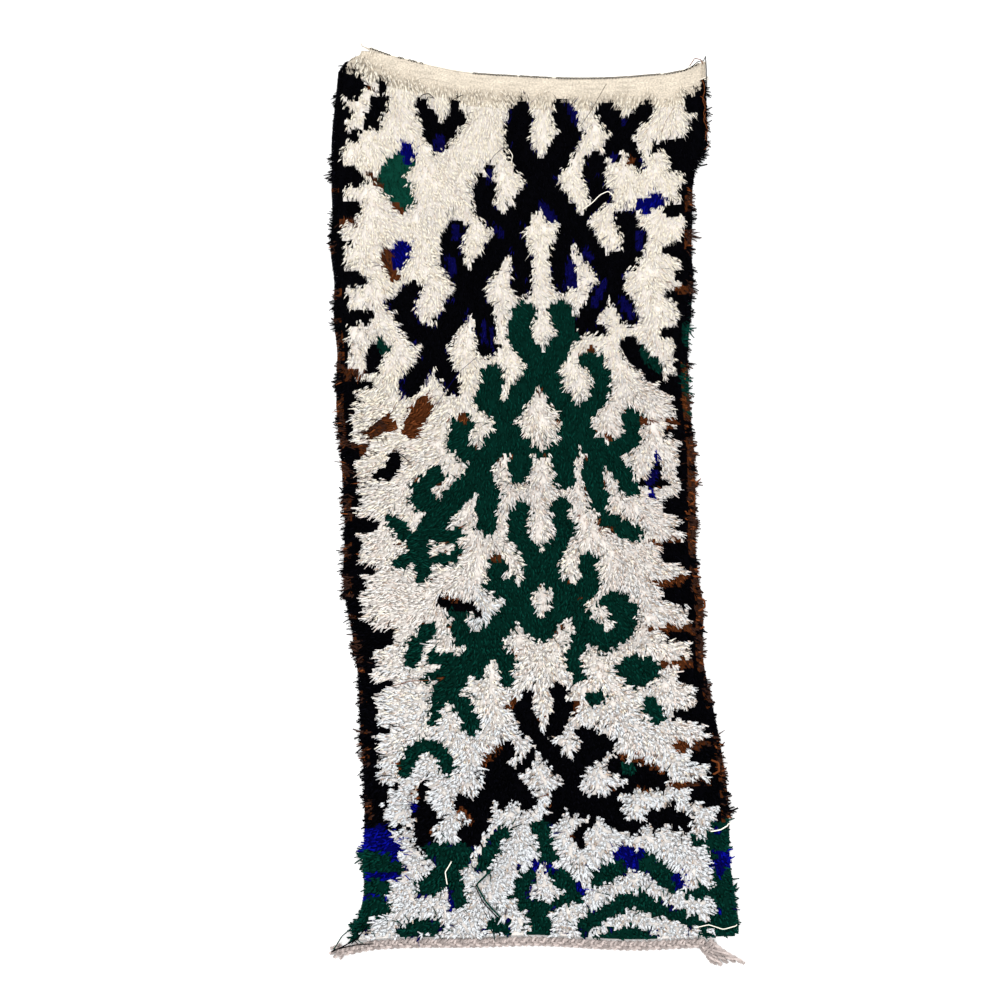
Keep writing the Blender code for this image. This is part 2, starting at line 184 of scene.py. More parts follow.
GREEN_UPPER = [
    Line("green", 6.8, [(-2.9, 46.8), (-4.8, 41.5), (0.6, 33.5)]),
    Line("green", 6.8, [(5.6, 46.8), (7.3, 41.5), (2.4, 33.5)]),
    Line("green", 6.8, [(1.5, 33.5), (4.9, 27), (8.8, 20), (6.8, 12.5), (6.6, 6.5)]),
    Line("green", 3.0, [(-3, 14.4), (1, 12.4), (5.2, 14.2)]),
    Line("green", 5.8, [(10.2, 20.2), (14.6, 24.8), (16, 30), (14.6, 34.4), (12.6, 35)]),
    Line("brown", 1.8, [(13.5, 38), (12.5, 37.6)]),
    Line("brown", 2.4, [(34.6, 52.8), (37.4, 52.2)]),
    Line("green", 6.6, [(1.5, 33.5), (-4, 27.5), (-7.8, 20), (-4.2, 13), (-4, 7.5)]),
    Line("green", 6.6, [(-9, 22.5), (-13, 25.5), (-10.6, 31.5)]),
    Line("green", 7.0, [(-7.5, 18.5), (-13.8, 9.5), (-19, 2.4), (-24, -2), (-26.5, -6)]),
    Line("green", 6.0, [(-14.5, 10.5), (-20, 14.5), (-18.3, 19.8)]),
    Line("brown", 2.4, [(-18.6, 21.4), (-17.8, 21)]),
    Line("green", 6.2, [(-24, -1.4), (-28.6, 0.8), (-28.4, 4.6), (-25.4, 7)]),
    Line("green", 6.2, [(-14, 8.5), (-11.7, 2), (-12.6, -5)]),
    Line("green", 6.4, [(9.8, 19.5), (14.6, 13), (13.6, 6), (15, 0.8)]),
    Line("green", 6.0, [(18, 12.2), (23.6, 16.5), (23.2, 21.3)]),
    Line("green", 5.6, [(17.5, 11.5), (21.3, 7), (23, 4)]),
    Line("brown", 1.6, [(17.2, 17), (18, 16)]),
    Line("brown", 2.0, [(26.3, 20.6), (27.2, 20.2)]),
    Line("green", 4.6, [(-35.6, -4.2), (-32, -8.4), (-28, -9)]),
    Line("green", 4.2, [(-19.6, -7.6), (-27, -8)]),
    Line("green", 3.4, [(-24, -13.6), (-21.6, -13.8), (-19.3, -11)]),
    Line("green", 3.8, [(-34.2, -14.6), (-29, -11.6)]),
    Line("green", 5.0, [(-28, -11), (-28.3, -17.6)]),
    Line("brown", 5.2, [(-40.5, 18), (-37, 20)]),
    Line("brown", 5.8, [(-28, 24), (-31, 18.5)]),
    Line("black", 4.2, [(-38.6, 7.4), (-36, 8.2), (-34.9, 10.4)]),
    Line("black", 2.4, [(-36, 11.5), (-34.4, 11.8)]),
    Line("black", 4.2, [(29.6, 9), (28.6, 5.4)]),
    Line("black", 2.2, [(25.8, 5.4), (31.6, 5)]),
    Line("navy", 2.6, [(28.6, 7.4), (28, 5.4)]),
    Line("blue", 1.4, [(29.3, 12), (29.4, 10.4)]),
    Line("blue", 1.8, [(28.7, 3), (28.6, 2.2)]),
    Line("green", 5.8, [(17.8, -4), (24, -7)]),
    Line("brown", 1.8, [(18.5, -6.5), (17.5, -6)]),
    Line("black", 6.2, [(22.3, 38.6), (28.5, 32.3)]),
    Line("green", 2.6, [(26, 37.3), (29.5, 33.3)]),
]
GREEN_LOWER = [
    Line("green", 6.4, [(-3.9, -2.2), (-4.6, -7.5), (0.2, -15)]),
    Line("green", 6.4, [(5.8, -0.8), (6.9, -6.5), (2.4, -15)]),
    Line("green", 6.2, [(1.4, -15.6), (-5.4, -23.5), (0.2, -31.3)]),
    Line("green", 6.2, [(1.6, -15.6), (7.6, -23), (1.4, -31.3)]),
    Line("green", 6.0, [(-6, -20.8), (-10.8, -20), (-9.5, -15.5)]),
    Line("brown", 2.0, [(-10.4, -13.2), (-9.2, -13)]),
    Line("green", 6.2, [(8.5, -22.5), (13.3, -20), (12.8, -14.5)]),
    Line("green", 6.4, [(8.5, -24), (11.6, -29.5), (16.8, -34.3)]),
    Line("green", 6.2, [(17, -33.8), (22, -30.6), (23, -26.8), (20.6, -24), (18, -24.2)]),
    Line("green", 3.0, [(19.4, -25), (18.9, -28)]),
    Line("green", 7.4, [(-4.6, -25), (-11.8, -33), (-18.8, -41.2), (-23, -46)]),
    Line("green", 4.0, [(-25.6, -37.4), (-20, -38.8)]),
    Line("green", 3.0, [(-27.6, -42.6), (-22.5, -41.2)]),
    Line("green", 3.2, [(-12.8, -38), (-14.6, -42)]),
    Line("green", 5.8, [(-13, -34.3), (-18.6, -32.5), (-19.5, -26.5)]),
    Line("black", 3.4, [(-23, -24.3), (-17, -24.8)]),
    Line("brown", 1.6, [(-22.5, -22.8), (-20, -23.4)]),
    Line("black", 2.2, [(-15, -26), (-14.5, -27)]),
    Line("green", 5.2, [(-27.2, -31.2), (-29.8, -34.5), (-31, -37.8)]),
    Line("green", 5.2, [(-10.5, -35.5), (-7.3, -38.5), (-7.4, -43.5)]),
    Line("green", 3.4, [(-25.5, -48.3), (-25, -53)]),
    Line("green", 6.2, [(-18.3, -49.3), (-15.8, -54)]),
    Line("green", 5.4, [(10, -34), (8.4, -38), (10.4, -41.6)]),
    Line("green", 9.4, [(23.4, -40.8), (26, -41.2)]),
    Line("green", 4.2, [(13.7, -47.5), (15.3, -47.5)]),
    Line("green", 5.6, [(28, -49.5), (29, -51.5)]),
    Line("green", 4.4, [(-32.3, -65.3), (-31, -61), (-27.5, -58.8), (-24, -60.3), (-21.3, -65)]),
]
BLACK_LOWER = [
    Line("black", 5.6, [(5.6, -46.2), (6.6, -51), (4, -55.5)]),
    Line("black", 4.4, [(-2.2, -47), (-3, -49.8)]),
    Line("black", 6.4, [(-4.2, -50.5), (-2, -54.2)]),
    Line("black", 4.8, [(-2, -54.2), (2.6, -60.5)]),
    Line("black", 6.4, [(3.2, -61), (7.8, -66.5), (8.3, -72)]),
    Line("black", 3.2, [(-1.4, -61.2), (-3.6, -65)]),
    Line("black", 4.0, [(-9, -68), (-8.4, -73)]),
    Line("black", 6.4, [(8.5, -66), (12.5, -61.3), (17, -59)]),
    Line("black", 4.8, [(11, -56.3), (14, -57)]),
    Line("black", 6.2, [(19.5, -64.3), (24.5, -66.5), (29.8, -67.6)]),
    Line("black", 3.6, [(23, -69.3), (18.5, -71.5)]),
    Line("green", 3.0, [(21.7, -64), (22.7, -65)]),
    Line("black", 6.0, [(-7.4, -60.8), (-10.4, -64.8), (-11.6, -71)]),
    Line("black", 5.6, [(-8, -65), (-4.8, -69.5), (-2.5, -73)]),
    Line("black", 5.0, [(-12, -71.5), (-16, -74.2), (-18.8, -73)]),
    Line("black", 2.4, [(-7.8, -71), (-5.6, -72.6)]),
    Line("black", 7.0, [(-13.5, -74), (-14.8, -79), (-17.5, -82.3)]),
    Line("black", 7.0, [(6, -72.5), (12, -74), (18.5, -75)]),
    Line("black", 5.0, [(5.5, -74), (3.2, -77.5)]),
    Line("black", 4.6, [(18.5, -77.3), (24.5, -79.3)]),
    Line("black", 3.0, [(12.5, -78.5), (9.8, -81), (11, -83.5)]),
    Line("black", 5.8, [(28.5, -77.3), (33, -76), (36, -78)]),
    Line("black", 3.6, [(-28, -69), (-29, -73)]),
    Line("blue", 2.6, [(-30, -74.2), (-29.6, -74.6)]),
    Line("black", 3.8, [(-27.5, -74.2), (-25.3, -77.3)]),
    Line("black", 5.8, [(-28.3, -76.8), (-28.3, -82), (-25.5, -85)]),
    Line("brown", 2.0, [(-6, -48), (-7.2, -50)]),
    Line("brown", 1.8, [(20, -61.6), (25, -62.8), (30.5, -65.3)]),
    Line("brown", 2.0, [(-9.5, -59.5), (-13.5, -64)]),
    Line("brown", 2.0, [(9.5, -49), (9.7, -51)]),
    Line("brown", 1.8, [(-18.5, -75), (-16.5, -77.5)]),
]
BOTTOM_ZONE = [
    Line("green", 5.6, [(-25.5, -85.3), (-18, -85.6)]),
    Line("green", 5.0, [(-8.6, -80.8), (-13.2, -88.4)]),
    Line("green", 6.6, [(-19.5, -87.6), (-23.4, -90.6), (-27.4, -93.8)]),
    Line("green", 5.2, [(-20.2, -91), (-19.4, -97)]),
    Line("blue", 2.4, [(-21.5, -97.8), (-21, -99)]),
    Line("green", 5.0, [(-33, -105), (-29, -103.6), (-24.7, -103.6)]),
    Line("green", 5.4, [(-10.5, -103), (-8.3, -103.8)]),
    Line("green", 6.0, [(1, -80), (2.8, -86)]),
    Line("blue", 2.4, [(-1, -90), (-0.5, -87.5)]),
    Line("blue", 3.4, [(3, -89.3), (4.5, -90.5)]),
    Line("green", 5.8, [(-2.7, -91.7), (-4.4, -95.3)]),
    Line("green", 6.2, [(6, -91.5), (9.8, -95.3)]),
    Line("blue", 2.8, [(10.3, -93.5), (10.9, -94.5)]),
    Line("green", 8.0, [(0, -100), (0.5, -104.7)]),
    Line("green", 4.2, [(-3.5, -98), (0, -100)]),
    Line("green", 4.2, [(7, -96.6), (2.5, -99)]),
    Line("blue", 6.6, [(21.5, -86), (24.5, -87.3)]),
    Line("green", 5.8, [(20, -89.3), (15, -91.7)]),
    Line("green", 6.2, [(27.5, -88), (33, -92.7)]),
    Line("blue", 3.2, [(34.8, -91.3), (35, -92.8)]),
    Line("green", 5.2, [(12, -103), (17, -99.8), (21, -97.8), (25, -97), (30, -99.4)]),
    Line("green", 3.6, [(30, -99.5), (36, -101.5), (41, -103.3)]),
    Line("green", 3.4, [(9.5, -107.2), (18, -107)]),
    Line("green", 5.0, [(16.5, -106.8), (22.5, -105.2), (28, -107.4)]),
    Line("blue", 8.2, [(-39.5, -82.3), (-37, -85)]),
    Line("blue", 4.0, [(-42, -84), (-41, -88)]),
    Line("green", 4.4, [(-42, -87), (-38, -87)]),
    Line("green", 5.2, [(-41, -89.3), (-34.8, -89.5)]),
    Line("blue", 2.8, [(-41, -91.8), (-35, -91.5)]),
    Line("green", 5.4, [(-41.5, -94.7), (-38.3, -94.3)]),
    Line("blue", 2.8, [(-41.5, -97.3), (-37.5, -97.3)]),
    Line("green", 5.4, [(-43, -99.6), (-38.4, -99.2)]),
    Line("green", 5.2, [(-45.6, -104.4), (-42.4, -103)]),
    Line("green", 4.4, [(-49, -108.4), (-45, -106)]),
]

# Teeth of the side borders: middle and half height along the warp, and how far in they reach
Tooth = namedtuple("Tooth", "along half reach colour")
LEFT_TEETH = [
    Tooth(95, 2.0, -45.2, "black"),
    Tooth(90.3, 2.4, -43.2, "black"),
    Tooth(79.8, 3.0, -41.8, "black"),
    Tooth(72, 3.4, -43.2, "black"),
    Tooth(69, 1.2, -44.5, "brown"),
    Tooth(63.5, 2.2, -45.0, "black"),
    Tooth(55, 2.9, -41.5, "black"),
    Tooth(45.5, 2.8, -40.5, "black"),
    Tooth(29, 1.8, -40.3, "black"),
    Tooth(31.6, 1.0, -41.6, "brown"),
    Tooth(25.5, 2.0, -43.3, "black"),
    Tooth(14, 1.8, -41.3, "brown"),
    Tooth(11.8, 1.6, -43.0, "black"),
    Tooth(-5, 2.4, -39.0, "black"),
    Tooth(-16, 2.0, -39.3, "black"),
    Tooth(-19.5, 2.0, -42.0, "black"),
    Tooth(-32.7, 4.6, -35.4, "black"),
    Tooth(-38.7, 2.6, -39.5, "black"),
    Tooth(-44.5, 1.6, -34.9, "black"),
    Tooth(-50, 4.2, -39.0, "black"),
    Tooth(-55, 1.4, -35.8, "black"),
    Tooth(-60, 5.2, -38.6, "black"),
    Tooth(-72, 4.0, -36.4, "black"),
    Tooth(-69.3, 1.0, -34.5, "black"),
    Tooth(-76, 2.4, -37.0, "black"),
    Tooth(-79.3, 1.6, -31.5, "black"),
]
RIGHT_TEETH = [
    Tooth(97.7, 3.4, 36.0, "black"),
    Tooth(92, 2.6, 36.8, "black"),
    Tooth(87.3, 2.8, 28.0, "black"),
    Tooth(83.3, 3.6, 32.5, "black"),
    Tooth(72.3, 2.5, 30.7, "black"),
    Tooth(62.3, 2.2, 30.9, "black"),
    Tooth(56, 1.8, 33.5, "black"),
    Tooth(53, 0.8, 33.0, "brown"),
    Tooth(51, 2.0, 31.3, "black"),
    Tooth(42, 2.2, 29.8, "black"),
    Tooth(28.7, 3.2, 30.0, "black"),
    Tooth(20.3, 1.0, 28.2, "brown"),
    Tooth(17.3, 2.2, 31.3, "black"),
    Tooth(9.5, 9.0, 34.3, "black"),
    Tooth(-0.3, 3.9, 31.2, "black"),
    Tooth(-5.5, 2.8, 33.6, "black"),
    Tooth(-9.6, 1.2, 27.0, "brown"),
    Tooth(-12, 3.5, 29.6, "black"),
    Tooth(-19.2, 1.1, 28.6, "brown"),
    Tooth(-22.3, 3.6, 30.6, "black"),
    Tooth(-27.5, 1.8, 36.5, "black"),
    Tooth(-31.8, 2.6, 31.0, "black"),
    Tooth(-30.6, 1.0, 27.2, "brown"),
    Tooth(-39.3, 1.2, 30.5, "brown"),
    Tooth(-42.3, 2.9, 34.4, "black"),
    Tooth(-51.5, 2.8, 33.0, "black"),
    Tooth(-59.3, 1.5, 33.2, "brown"),
    Tooth(-62, 2.6, 37.6, "black"),
    Tooth(-68.9, 1.2, 32.6, "brown"),
    Tooth(-71.3, 4.0, 37.4, "black"),
    Tooth(-83, 1.5, 37.5, "green"),
    Tooth(-95.5, 2.3, 36.0, "green"),
    Tooth(-102.5, 1.8, 38.0, "green"),
    Tooth(-106, 2.0, 40.0, "green"),
]

COLOURS = ["cream", "black", "green", "blue", "brown", "navy", "jade"]
CREAM, BLACK, GREEN, BLUE, BROWN, NAVY, JADE = range(7)
MOTIF_GIRTH = 0.88           # the pale pile around a motif lies over its edge
WAVER = 0.50 * CM            # unevenness of a motif's edge
BORDER_WIDTH = 2.6 * CM


def smooth_noise(x, y, size, seed):
    """Soft unevenness, between about -1 and 1, with features of that size."""
    waves = np.random.default_rng(seed)
    total = np.zeros_like(x)
    for _ in range(7):
        angle = waves.uniform(0, math.pi)
        pitch = size * waves.uniform(0.7, 1.6)
        turn = waves.uniform(0, 2 * math.pi)
        total += np.sin((x * math.cos(angle) + y * math.sin(angle)) * 2 * math.pi / pitch + turn)
    return total / 3.2


def line_distance(x, y, start, stop):
    ax, ay = start[0] * CM, start[1] * CM
    dx, dy = stop[0] * CM - ax, stop[1] * CM - ay
    share = np.clip(((x - ax) * dx + (y - ay) * dy) / (dx * dx + dy * dy + 1e-9), 0.0, 1.0)
    return np.hypot(x - ax - dx * share, y - ay - dy * share)


def border_colour(x, y, chosen):
    """Dark borders with teeth, green and blue in the last fifth of the rug."""
    wobble = WAVER * (0.8 * smooth_noise(x, y, 0.035, 31) + 0.6 * smooth_noise(x, y, 0.013, 32))
    low = y < -0.775
    for edge, inward, teeth in ((left_at(y), 1.0, LEFT_TEETH), (right_at(y), -1.0, RIGHT_TEETH)):
        depth = (x - edge) * inward
        width = BORDER_WIDTH * np.where(y > 0.5, 0.85, 1.0) * (1.0 + 0.3 * smooth_noise(y, y * 0, 0.10, 5))
        width = width * (1.0 - (0.38 if inward > 0 else 0.12) * np.exp(-((y - 0.36) / 0.05) ** 2))
        width = np.where(low & (inward < 0), 4.2 * CM, width)
        inside = (depth < width + wobble) & (y < 1.04) & (y > -1.10)
        if inward > 0:
            inside &= y > -0.80
        chosen[inside] = BLACK
        if inward < 0:
            chosen[inside & low] = GREEN
            patch = smooth_noise(y, x * 0.6, 0.045, 8)
            chosen[inside & low & (patch > 0.15) & (depth < 2.6 * CM + 2 * wobble)] = BLUE
            chosen[inside & low & (patch < -0.75)] = NAVY
        uneven_y = y + 0.6 * CM * smooth_noise(x, y, 0.030, 33)
        for tooth in teeth:
            middle, half = tooth.along * CM, tooth.half * CM
            reach = (tooth.reach * CM - edge) * inward
            rise = np.clip(1.0 - np.abs(uneven_y - middle) / (half + 0.004), 0.0, 1.0)
            here = (depth < reach * np.minimum(1.0, 1.7 * rise) + wobble) & (rise > 0)
            if tooth.colour == "brown":
                here &= depth > 0.6 * width
            chosen[here & (depth > -0.05)] = COLOURS.index(tooth.colour)
        if inward > 0:
            least = np.interp(y, [-0.40, -0.30, 0.12, 0.50, 0.58], [0.75, 0.0, -0.25, 0.05, 0.75])
        else:
            least = np.interp(y, [-0.50, -0.36, 0.29, 0.34, 0.36, 0.60], [0.2, -0.7, -0.9, 0.0, 3.0, 0.1])
        browned = (depth < (0.65 if inward > 0 else 0.85) * CM + 0.6 * wobble) & inside & ~low
        marks = smooth_noise(y, x * 0, 0.09, 12 if inward > 0 else 13)
        marks = marks + 1.0 * smooth_noise(x * 0.4, y, 0.010, 14)
        chosen[browned & (marks > least) & (y < 0.78)] = BROWN
        if inward < 0:
            chosen[browned & (marks < -0.15) & (y > 0.22) & (y < 0.50)] = GREEN
    return chosen


# Knots of another colour along the edge of a motif: from how far inside it to how far outside
Fringe = namedtuple("Fringe", "colour under start stop least")
MOTIFS = [
    (BLACK_LATTICE, [Fringe(NAVY, BLACK, -0.008, 0.0, 0.15), Fringe(NAVY, CREAM, 0.0, 0.004, 0.90)]),
    (TOP_MARKS, []),
    (GREEN_UPPER, [Fringe(BROWN, CREAM, 0.0, 0.0045, 0.75), Fringe(BROWN, GREEN, -0.006, 0.0, 1.15)]),
    (GREEN_LOWER, [Fringe(BROWN, CREAM, 0.0, 0.0045, 0.85), Fringe(BROWN, GREEN, -0.006, 0.0, 1.2)]),
    (BLACK_LOWER, [Fringe(BROWN, CREAM, 0.0, 0.0045, 0.85), Fringe(BROWN, BLACK, -0.010, 0.0, 1.5)]),
    (BOTTOM_ZONE, [Fringe(NAVY, GREEN, -0.009, 0.0, 0.55), Fringe(NAVY, CREAM, 0.0, 0.004, 0.9)]),
]


def colour_at(x, y, fringed=True):
    """Index into COLOURS of the knot that shows at each place."""
    chosen = np.zeros(x.shape, dtype=int)
    chosen = border_colour(x, y, chosen)
    waver = WAVER * smooth_noise(x, y, 0.028, 21)
    fleck = 0.8 * smooth_noise(x, y, 0.055, 51) + 0.7 * smooth_noise(x, y, 0.014, 52)
    for motif, fringes in MOTIFS:
        nearest = np.full(x.shape, 1.0)
        for line in motif:
            half = 0.5 * line.width * CM * MOTIF_GIRTH
            for start, stop in zip(line.points[:-1], line.points[1:]):
                gap = line_distance(x, y, start, stop) + waver * min(1.0, line.width / 4) - half
                chosen[gap < 0] = COLOURS.index(line.colour)
                nearest = np.minimum(nearest, gap)
        for fringe in fringes if fringed else []:
            here = (nearest > fringe.start) & (nearest < fringe.stop) & (fleck > fringe.least)
            chosen[here & (chosen == fringe.under)] = fringe.colour
    return chosen


# Wool: each colour of yarn comes in a few close shades
def wool(name, colour, rough=0.9, sheen=0.0, shine=0.1):
    made = bpy.data.materials.new(name)
    made.use_nodes = True
    shader = made.node_tree.nodes["Principled BSDF"]
    shader.inputs["Base Color"].default_value = (*colour, 1.0)
    shader.inputs["Roughness"].default_value = rough
    shader.inputs["Specular IOR Level"].default_value = shine
    shader.inputs["Sheen Weight"].default_value = sheen
    shader.inputs["Sheen Roughness"].default_value = 0.6
    return made


def add_fibres(made, size, stretch, tint, relief):
    """Uneven fibre on a wool: spots of lighter and darker yarn, drawn out along one axis, and relief."""
    nodes, links = made.node_tree.nodes, made.node_tree.links
    shader = nodes["Principled BSDF"]
    colour = np.array(shader.inputs["Base Color"].default_value[:3])
    place = nodes.new("ShaderNodeTexCoord")
    drawn = nodes.new("ShaderNodeMapping")
    drawn.inputs["Scale"].default_value = stretch
    links.new(place.outputs["Object"], drawn.inputs["Vector"])
    spots = nodes.new("ShaderNodeTexNoise")
    spots.inputs["Scale"].default_value = 1.0 / size
    spots.inputs["Detail"].default_value = 3.0
    links.new(drawn.outputs["Vector"], spots.inputs["Vector"])
    ramp = nodes.new("ShaderNodeValToRGB")
    ramp.color_ramp.elements[0].position = 0.36
    ramp.color_ramp.elements[0].color = (*(colour * (1.0 - tint)), 1.0)
    ramp.color_ramp.elements[1].position = 0.62
    ramp.color_ramp.elements[1].color = (*(colour * (1.0 + 0.5 * tint)), 1.0)
    links.new(spots.outputs["Fac"], ramp.inputs["Fac"])
    links.new(ramp.outputs["Color"], shader.inputs["Base Color"])
    bump = nodes.new("ShaderNodeBump")
    bump.inputs["Strength"].default_value = 0.6
    bump.inputs["Distance"].default_value = relief
    links.new(spots.outputs["Fac"], bump.inputs["Height"])
    links.new(bump.outputs["Normal"], shader.inputs["Normal"])


def shades(name, colour, scales, **finish):
    return [wool(f"{name}_{i + 1}", [c * s for c in colour], **finish) for i, s in enumerate(scales)]


def pale_wools(name, colours):
    return [wool(f"{name}_{i + 1}", colour, sheen=0.30, shine=0.03) for i, colour in enumerate(colours)]


IVORY = pale_wools("ivory", [(0.905, 0.850, 0.730), (0.880, 0.810, 0.675), (0.800, 0.700, 0.560)])
# The fifth white, a dark beige, is strewn thinly among the pale strands as painted shade between the tufts
WHITE = pale_wools("white", [(0.815, 0.785, 0.745), (0.770, 0.720, 0.675), (0.735, 0.630, 0.565),
                             (0.650, 0.640, 0.630), (0.440, 0.330, 0.250)])
COOL = pale_wools("cool", [(0.700, 0.728, 0.750), (0.670, 0.676, 0.690), (0.640, 0.590, 0.575)])
NEAR_HEADING = pale_wools("near_heading", [(0.820, 0.745, 0.625), (0.750, 0.670, 0.550)])
CREAM_WOOL = IVORY + WHITE + COOL + NEAR_HEADING
BLACK_WOOL = shades("black", (0.0009, 0.0009, 0.0017), (1.0, 1.9, 0.5), shine=0.015)
GREEN_WOOL = shades("green", (0.0013, 0.0290, 0.0205), (1.0, 1.45, 0.65), shine=0.015)
BLUE_WOOL = shades("blue", (0.0022, 0.0038, 0.240), (1.0, 0.60, 0.30), shine=0.015)
BROWN_WOOL = shades("brown", (0.125, 0.036, 0.011), (1.0, 0.55, 1.5), shine=0.015)
BROWN_WOOL.append(wool("brown_rim", (0.037, 0.0165, 0.0115), shine=0.015))
PINK_WOOL = shades("pinkish", (0.38, 0.325, 0.305), (1.0, 0.72, 1.35), sheen=0.1)
NAVY_WOOL = shades("navy", (0.0026, 0.0024, 0.055), (1.0, 1.8, 0.5), shine=0.015)
JADE_WOOL = shades("jade", (0.0030, 0.0460, 0.0300), (1.0, 1.35, 0.7), shine=0.015)
HEADING_WOOL = shades("heading", (0.550, 0.485, 0.395), (1.0, 0.91, 0.80, 1.10), sheen=0.1)
for made in HEADING_WOOL:
    add_fibres(made, 0.0034, (0.8, 1.0, 1.0), 0.24, 0.0010)
for made in PINK_WOOL:
    add_fibres(made, 0.0022, (0.6, 1.0, 1.0), 0.22, 0.0006)
YARNS = [CREAM_WOOL, BLACK_WOOL, GREEN_WOOL, BLUE_WOOL, BROWN_WOOL, NAVY_WOOL, JADE_WOOL]


def mesh_piece(name, points, faces, sizes, picks, materials, smooth=True):
    """A mesh from arrays: corners of all faces in one row, and how many each face has."""
    mesh = bpy.data.meshes.new(name)
    mesh.vertices.add(len(points))
    mesh.vertices.foreach_set("co", np.ascontiguousarray(points, dtype=np.float32).ravel())
    mesh.loops.add(len(faces))
    mesh.loops.foreach_set("vertex_index", np.ascontiguousarray(faces, dtype=np.int32))
    mesh.polygons.add(len(sizes))
    starts = np.concatenate([[0], np.cumsum(sizes)[:-1]])
    mesh.polygons.foreach_set("loop_start", np.ascontiguousarray(starts, dtype=np.int32))
    for made in materials:
        mesh.materials.append(made)
    mesh.polygons.foreach_set("material_index", np.ascontiguousarray(picks, dtype=np.int32))
    mesh.polygons.foreach_set("use_smooth", np.full(len(sizes), smooth))
    mesh.update(calc_edges=True)
    mesh.validate()
    made = bpy.data.objects.new(name, mesh)
    bpy.context.scene.collection.objects.link(made)
    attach(made, "root")
    return made


def tubes(paths, radii, sides, picks, pointed=False, twist=0.0, turns=None):
    """Many closed yarns at once. paths is yarn, point, xyz; radii is yarn, point."""
    count, rings, _ = paths.shape
    ahead = np.empty_like(paths)
    ahead[:, 1:-1] = paths[:, 2:] - paths[:, :-2]
    ahead[:, 0] = paths[:, 1] - paths[:, 0]
    ahead[:, -1] = paths[:, -1] - paths[:, -2]
    ahead /= np.linalg.norm(ahead, axis=2, keepdims=True) + 1e-12
    side = np.stack([-ahead[..., 1], ahead[..., 0], np.zeros((count, rings))], axis=2)
    length = np.linalg.norm(side, axis=2, keepdims=True)
    side = np.where(length > 1e-3, side / (length + 1e-12), np.array([1.0, 0.0, 0.0]))
    up = np.cross(side, ahead)
    first = turns if turns is not None else np.zeros(count)
    corner = np.arange(sides) * 2 * math.pi / sides
    angle = first[:, None, None] + np.linspace(0, twist, rings)[None, :, None] + corner[None, None, :]
    ring = paths[:, :, None, :] + radii[:, :, None, None] * (
        np.cos(angle)[..., None] * side[:, :, None, :] + np.sin(angle)[..., None] * up[:, :, None, :]
    )
    full = rings - 1 if pointed else rings
    body = ring[:, :full].reshape(count, full * sides, 3)
    if pointed:
        body = np.concatenate([body, paths[:, -1:, :]], axis=1)
    each = body.shape[1]
    k = np.arange(sides)
    following = (k + 1) % sides
    quads = []
    for j in range(full - 1):
        low, high = j * sides, (j + 1) * sides
        quads.append(np.stack([low + k, high + k, high + following, low + following], axis=1))
    quads = np.concatenate(quads)
    corners = [quads.ravel()]
    sizes = [4] * len(quads)
    corners.append(k)
    sizes.append(sides)
    if pointed:
        tip = full * sides
        last = (full - 1) * sides
        corners.append(np.stack([last + k, np.full(sides, tip), last + following], axis=1).ravel())
        sizes += [3] * sides
    else:
        corners.append((full - 1) * sides + k[::-1])
        sizes.append(sides)
    corners = np.concatenate(corners)
    faces = (corners[None, :] + (np.arange(count) * each)[:, None]).ravel()
    return body.reshape(-1, 3), faces, np.tile(sizes, count), np.repeat(picks, len(sizes))


def joined(parts):
    """Several results of tubes() as one."""
    points, faces, sizes, picks, base = [], [], [], [], 0
    for p, f, s, m in parts:
        points.append(p)
        faces.append(f + base)
        sizes.append(s)
        picks.append(m)
        base += len(p)
    return np.concatenate(points), np.concatenate(faces), np.concatenate(sizes), np.concatenate(picks)


# Ground cloth: a closed slab that follows the outline
def cloth_grid(columns, depths):
    """Places of a grid over the cloth. depths are metres below the heading's edge, down the middle."""
    top_middle, end_middle = float(top_at(0.0)), float(end_at(0.0))
    share = np.array(depths)[:, None] / (top_middle - end_middle)
    u = np.linspace(0.0, 1.0, columns + 1)[None, :]
    y = np.broadcast_to(top_middle - np.array(depths)[:, None], (len(depths), columns + 1)).copy()
    for _ in range(3):
        x = left_at(y) + (right_at(y) - left_at(y)) * u
        y = top_middle - np.array(depths)[:, None] + (top_at(x) - top_middle) * (1 - share) ** 5
        y = y + (end_at(x) - end_middle) * share ** 5
    return x, y


def slab(name, x, y, height, pick, materials):
    """Closed sheet between the floor and a height, one material pick for each top face."""
    rows, columns = x.shape
    top = np.stack([x, y, height], axis=2).reshape(-1, 3)
    bottom = np.stack([x, y, np.full_like(x, 0.0004)], axis=2).reshape(-1, 3)
    index = np.arange(rows * columns).reshape(rows, columns)
    a, b = index[:-1, :-1], index[:-1, 1:]
    c, d = index[1:, 1:], index[1:, :-1]
    over = np.stack([d, c, b, a], axis=2).reshape(-1, 4)
    rim = np.concatenate([index[0, :], index[1:, -1], index[-1, -2::-1], index[-2:0:-1, 0]])
    below = rows * columns + np.arange(len(rim))
    wall = np.stack([rim, np.roll(rim, -1), np.roll(below, -1), below], axis=1)
    faces = np.concatenate([over.ravel(), wall.ravel(), below])
    sizes = np.concatenate([np.full(len(over) + len(wall), 4), [len(below)]])
    picks = np.zeros(len(sizes), dtype=int)
    picks[:len(over)] = pick.ravel()
    points = np.concatenate([top, bottom.reshape(-1, 3)[rim]])
    return mesh_piece(name, points, faces, sizes, picks, materials)


